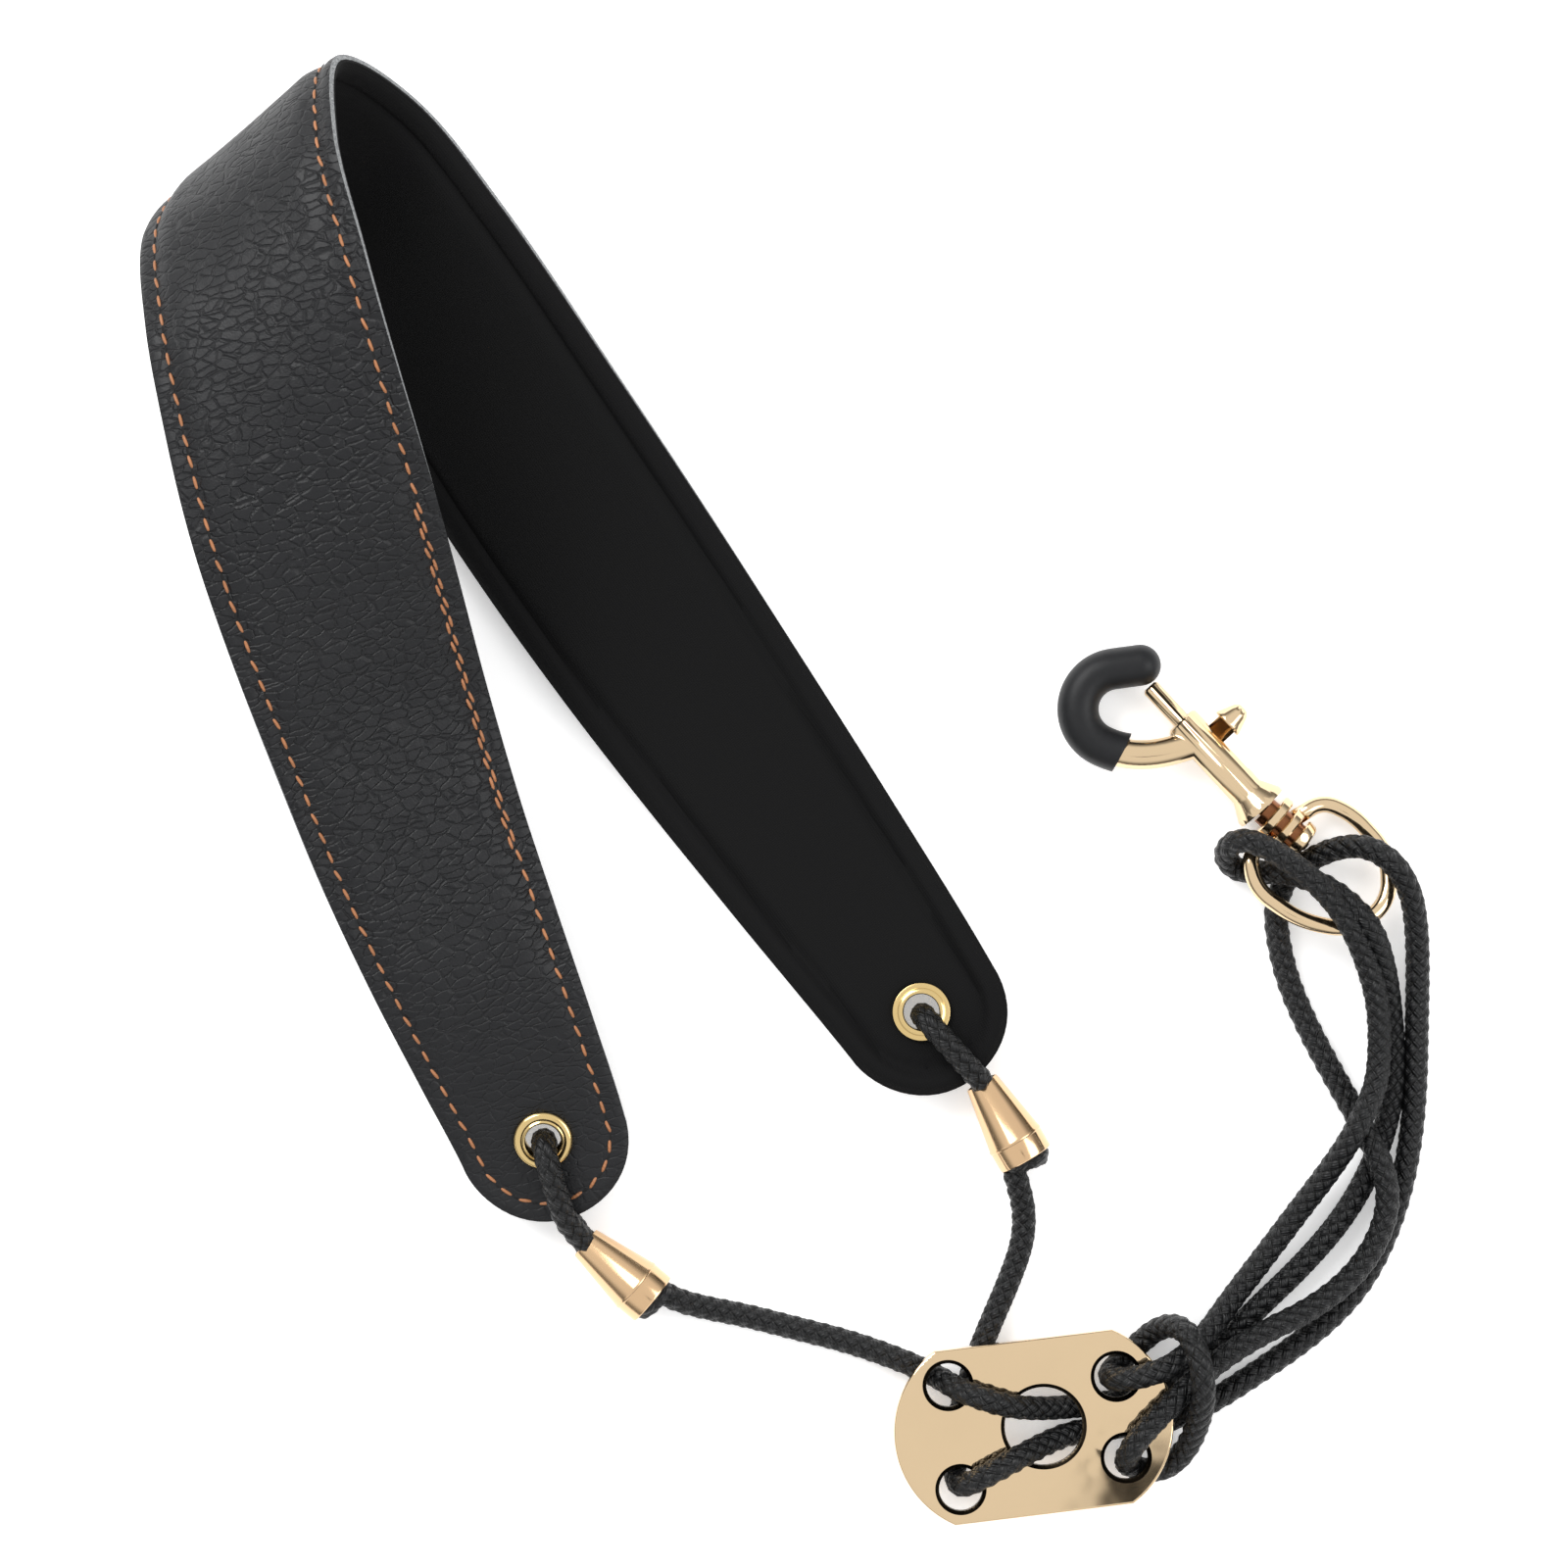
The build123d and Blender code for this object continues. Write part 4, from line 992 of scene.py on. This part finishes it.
class STRAP_OT_eyelets(bpy.types.Operator):
    """Finish the eyelets and their washers"""
    bl_idname = "strap.eyelets"
    bl_label = "Eyelets"

    def execute(self, context):
        brass = plated_metal("polished brass", context.scene.strap_colours.brass, 0.12)
        flanged = (
            (1.5, 5.9), (1.9, 5.95), (2.2, 5.8), (2.42, 5.45), (2.5, 5.0), (2.44, 4.6), (2.3, 4.3),
            (2.42, 4.1), (2.56, 3.95), (2.52, 3.75), (2.3, 3.62), (-1.9, 3.62), (-2.1, 3.8),
            (-2.15, 4.1), (-2.02, 4.5), (-1.8, 4.82), (-1.55, 4.88), (-1.5, 4.2), (1.5, 4.2),
        )
        washer = (
            (-0.8, 4.22), (-0.8, 5.9), (-1.15, 5.92), (-1.38, 5.8), (-1.5, 5.4), (-1.5, 4.22),
        )
        for side, s in (("left", EYELET_INSET), ("right", BAND_LENGTH - EYELET_INSET)):
            middle, across, out = band_frame(s)
            at = Matrix((out, across, out.cross(across))).transposed().to_4x4()
            at.translation = middle * MM
            for kind, profile in (("eyelet", flanged), ("eyelet_washer", washer)):
                ring = spun_piece(f"{side}_{kind}_ring", profile, at, brass)
                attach(ring, STRAP)
                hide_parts(f"{side}_{kind}")
        return {"FINISHED"}


class STRAP_OT_slider(bpy.types.Operator):
    """Finish the plate that slides on the cord"""
    bl_idname = "strap.slider"
    bl_label = "Adjuster plate"

    def in_hole(self, place):
        """Whether a place in mm is on the wall of one of the plate's holes."""
        away = Vector((place.x - PLATE_PLACE[0], place.y - PLATE_PLACE[1]))
        local = Matrix.Rotation(-math.radians(PLATE_YAW), 2) @ away
        return any(math.hypot(local.x - x, local.y - y) < r + 0.9 for x, y, r in PLATE_HOLES)

    def execute(self, context):
        colour = context.scene.strap_colours.plate
        low, high = PLATE_HEIGHTS

        # Hole walls take a copy of the gold darkened to a tenth and rougher: painted shade inside the holes.
        def choose(place, normal):
            return 1 if low < place.z < high and abs(normal.z) < 0.95 and self.in_hole(place) else 0

        smooth_copy("adjuster_plate", STRAP, [
            plated_metal("light gold plate", colour, 0.02),
            plated_metal("shaded gold plate", darker(colour, 0.10), 0.20)], choose, 4)
        return {"FINISHED"}


class STRAP_OT_bolt_hook(bpy.types.Operator):
    """Finish the hook, its plunger and its rubber sleeve"""
    bl_idname = "strap.bolt_hook"
    bl_label = "Bolt hook"

    def execute(self, context):
        colour = context.scene.strap_colours.plate
        gold = plated_metal("gold plate", colour, 0.09)
        # Painted shade: the grooves between the swivel's rings are coloured a dark copper brown.
        painted_groove_shade = plated_metal("painted groove shade", linear("#8A5A3C"), 0.22)
        middle = Vector(SWIVEL_PLACE) / MM
        axis = Vector((math.cos(math.radians(SWIVEL_YAW)), math.sin(math.radians(SWIVEL_YAW)), 0))

        def groove(place):
            away = place - middle
            reach = away.dot(axis)
            return 1 if (away - axis * reach).length < 3.6 and 0.6 < reach < 10.8 else 0

        for node in ("hook_body", "spring_seat", "swivel_rivet", "swivel_bow"):
            body = HOOK if node in ("hook_body", "spring_seat") else STRAP
            smooth_copy(node, body, [gold])
        collar = spun_piece("swivel_collar", (
            (0.5, 1.35), (0.5, 3.0), (2.1, 3.0), (2.1, 4.9), (2.4, 5.2), (3.8, 5.2), (4.1, 4.9),
            (4.1, 3.2), (5.6, 3.2), (5.6, 4.6), (5.9, 4.9), (7.2, 4.9), (7.5, 4.6), (7.5, 3.1),
            (8.9, 3.1), (8.9, 4.2), (9.2, 4.5), (10.8, 4.3), (11.2, 4.0), (11.5, 3.2), (11.5, 1.35),
        ), turned_frame(SWIVEL_PLACE, SWIVEL_YAW), gold)
        # The grooves take the dark copper-brown painted shade.
        collar.data.materials.append(painted_groove_shade)
        collar.data.polygons.foreach_set("material_index", [
            groove(face.center / MM) for face in collar.data.polygons])
        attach(collar, STRAP)
        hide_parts("swivel_head")
        for node in ("plunger_pin", "thumb_knob"):
            smooth_copy(node, PLUNGER, [gold])
        smooth_copy("hook_sleeve", HOOK, [dipped_rubber()], angle=50)
        spring = smooth_copy("plunger_spring", HOOK, [spring_wire()])
        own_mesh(spring)
        return {"FINISHED"}


class STRAP_OT_stage(bpy.types.Operator):
    """Lay the floor and set the camera and the studio lights"""
    bl_idname = "strap.stage"
    bl_label = "Stage"

    def execute(self, context):
        camera = bpy.data.cameras.new("overhead")
        camera.sensor_width = 36
        camera.lens = 112.5
        camera.clip_start, camera.clip_end = 0.05, 20
        holder = bpy.data.objects.new("overhead", camera)
        holder.location = (0.001, 0.003, 1.0)
        context.scene.collection.objects.link(holder)
        context.scene.camera = holder
        deselect()
        bpy.ops.mesh.primitive_plane_add(size=6.0, location=(0, 0, -0.0002))
        floor = context.object
        floor.name = "floor"
        floor.data.materials.append(paper_floor())
        deselect()
        bpy.ops.mesh.primitive_plane_add(size=0.08, location=(0.168, -0.306, 1.0))
        card = context.object
        card.name = "reflector_card"
        card.visible_camera = False
        card.visible_diffuse = False
        card.data.materials.append(needle_hole())
        lamps = (
            ("key", (-1.1, 1.2, 1.5), 1.2, 30.0), ("fill", (1.5, -0.1, 1.4), 1.2, 13.0),
        )
        for name, place, size, power in lamps:
            lamp = bpy.data.lights.new(name, "AREA")
            lamp.shape, lamp.size, lamp.energy = "SQUARE", size, power
            stand = bpy.data.objects.new(name, lamp)
            stand.location = place
            stand.rotation_euler = (-Vector(place)).to_track_quat("-Z", "Y").to_euler()
            context.scene.collection.objects.link(stand)
        world = bpy.data.worlds.new("studio")
        world.use_nodes = True
        tree, sky = world.node_tree, world.node_tree.nodes["Background"]
        sky.inputs["Color"].default_value = linear("#F8F8F8")
        height = add_node(tree, "ShaderNodeSeparateXYZ", {
            "Vector": add_node(tree, "ShaderNodeTexCoord").outputs["Generated"]})
        band = add_node(tree, "ShaderNodeMapRange", {
            "Value": height.outputs["Z"], "From Min": 0.15, "From Max": 0.6,
            "To Min": 0.25, "To Max": 1.0}, interpolation_type="SMOOTHSTEP")
        tree.links.new(band.outputs[0], sky.inputs["Strength"])
        context.scene.world = world
        context.scene.view_settings.view_transform = "Standard"
        return {"FINISHED"}


class STRAP_PT_panel(bpy.types.Panel):
    """Sidebar list of the strap's settings and building steps"""
    bl_label = "Neck strap"
    bl_idname = "STRAP_PT_panel"
    bl_space_type = "VIEW_3D"
    bl_region_type = "UI"
    bl_category = "Neck strap"

    def draw(self, context):
        for group in (context.scene.strap_sizes, context.scene.strap_colours):
            for name in group.__annotations__:
                self.layout.prop(group, name)
        for step in STEPS:
            self.layout.operator(step.bl_idname)


STEPS = (
    STRAP_OT_stage, STRAP_OT_braided_cord, STRAP_OT_bell_cones, STRAP_OT_neck_band,
    STRAP_OT_stitching, STRAP_OT_eyelets, STRAP_OT_slider, STRAP_OT_bolt_hook,
)
CLASSES = (StrapSizes, StrapColours, *STEPS, STRAP_PT_panel)


def register():
    for kind in CLASSES:
        bpy.utils.register_class(kind)
    bpy.types.Scene.strap_sizes = bpy.props.PointerProperty(type=StrapSizes)
    bpy.types.Scene.strap_colours = bpy.props.PointerProperty(type=StrapColours)


def unregister():
    del bpy.types.Scene.strap_colours
    del bpy.types.Scene.strap_sizes
    for kind in reversed(CLASSES):
        bpy.utils.unregister_class(kind)


def main():
    register()
    bpy.ops.strap.stage()
    bpy.ops.strap.braided_cord()
    bpy.ops.strap.bell_cones()
    bpy.ops.strap.neck_band()
    bpy.ops.strap.stitching()
    bpy.ops.strap.eyelets()
    bpy.ops.strap.slider()
    bpy.ops.strap.bolt_hook()


if __name__ == "__main__":
    main()
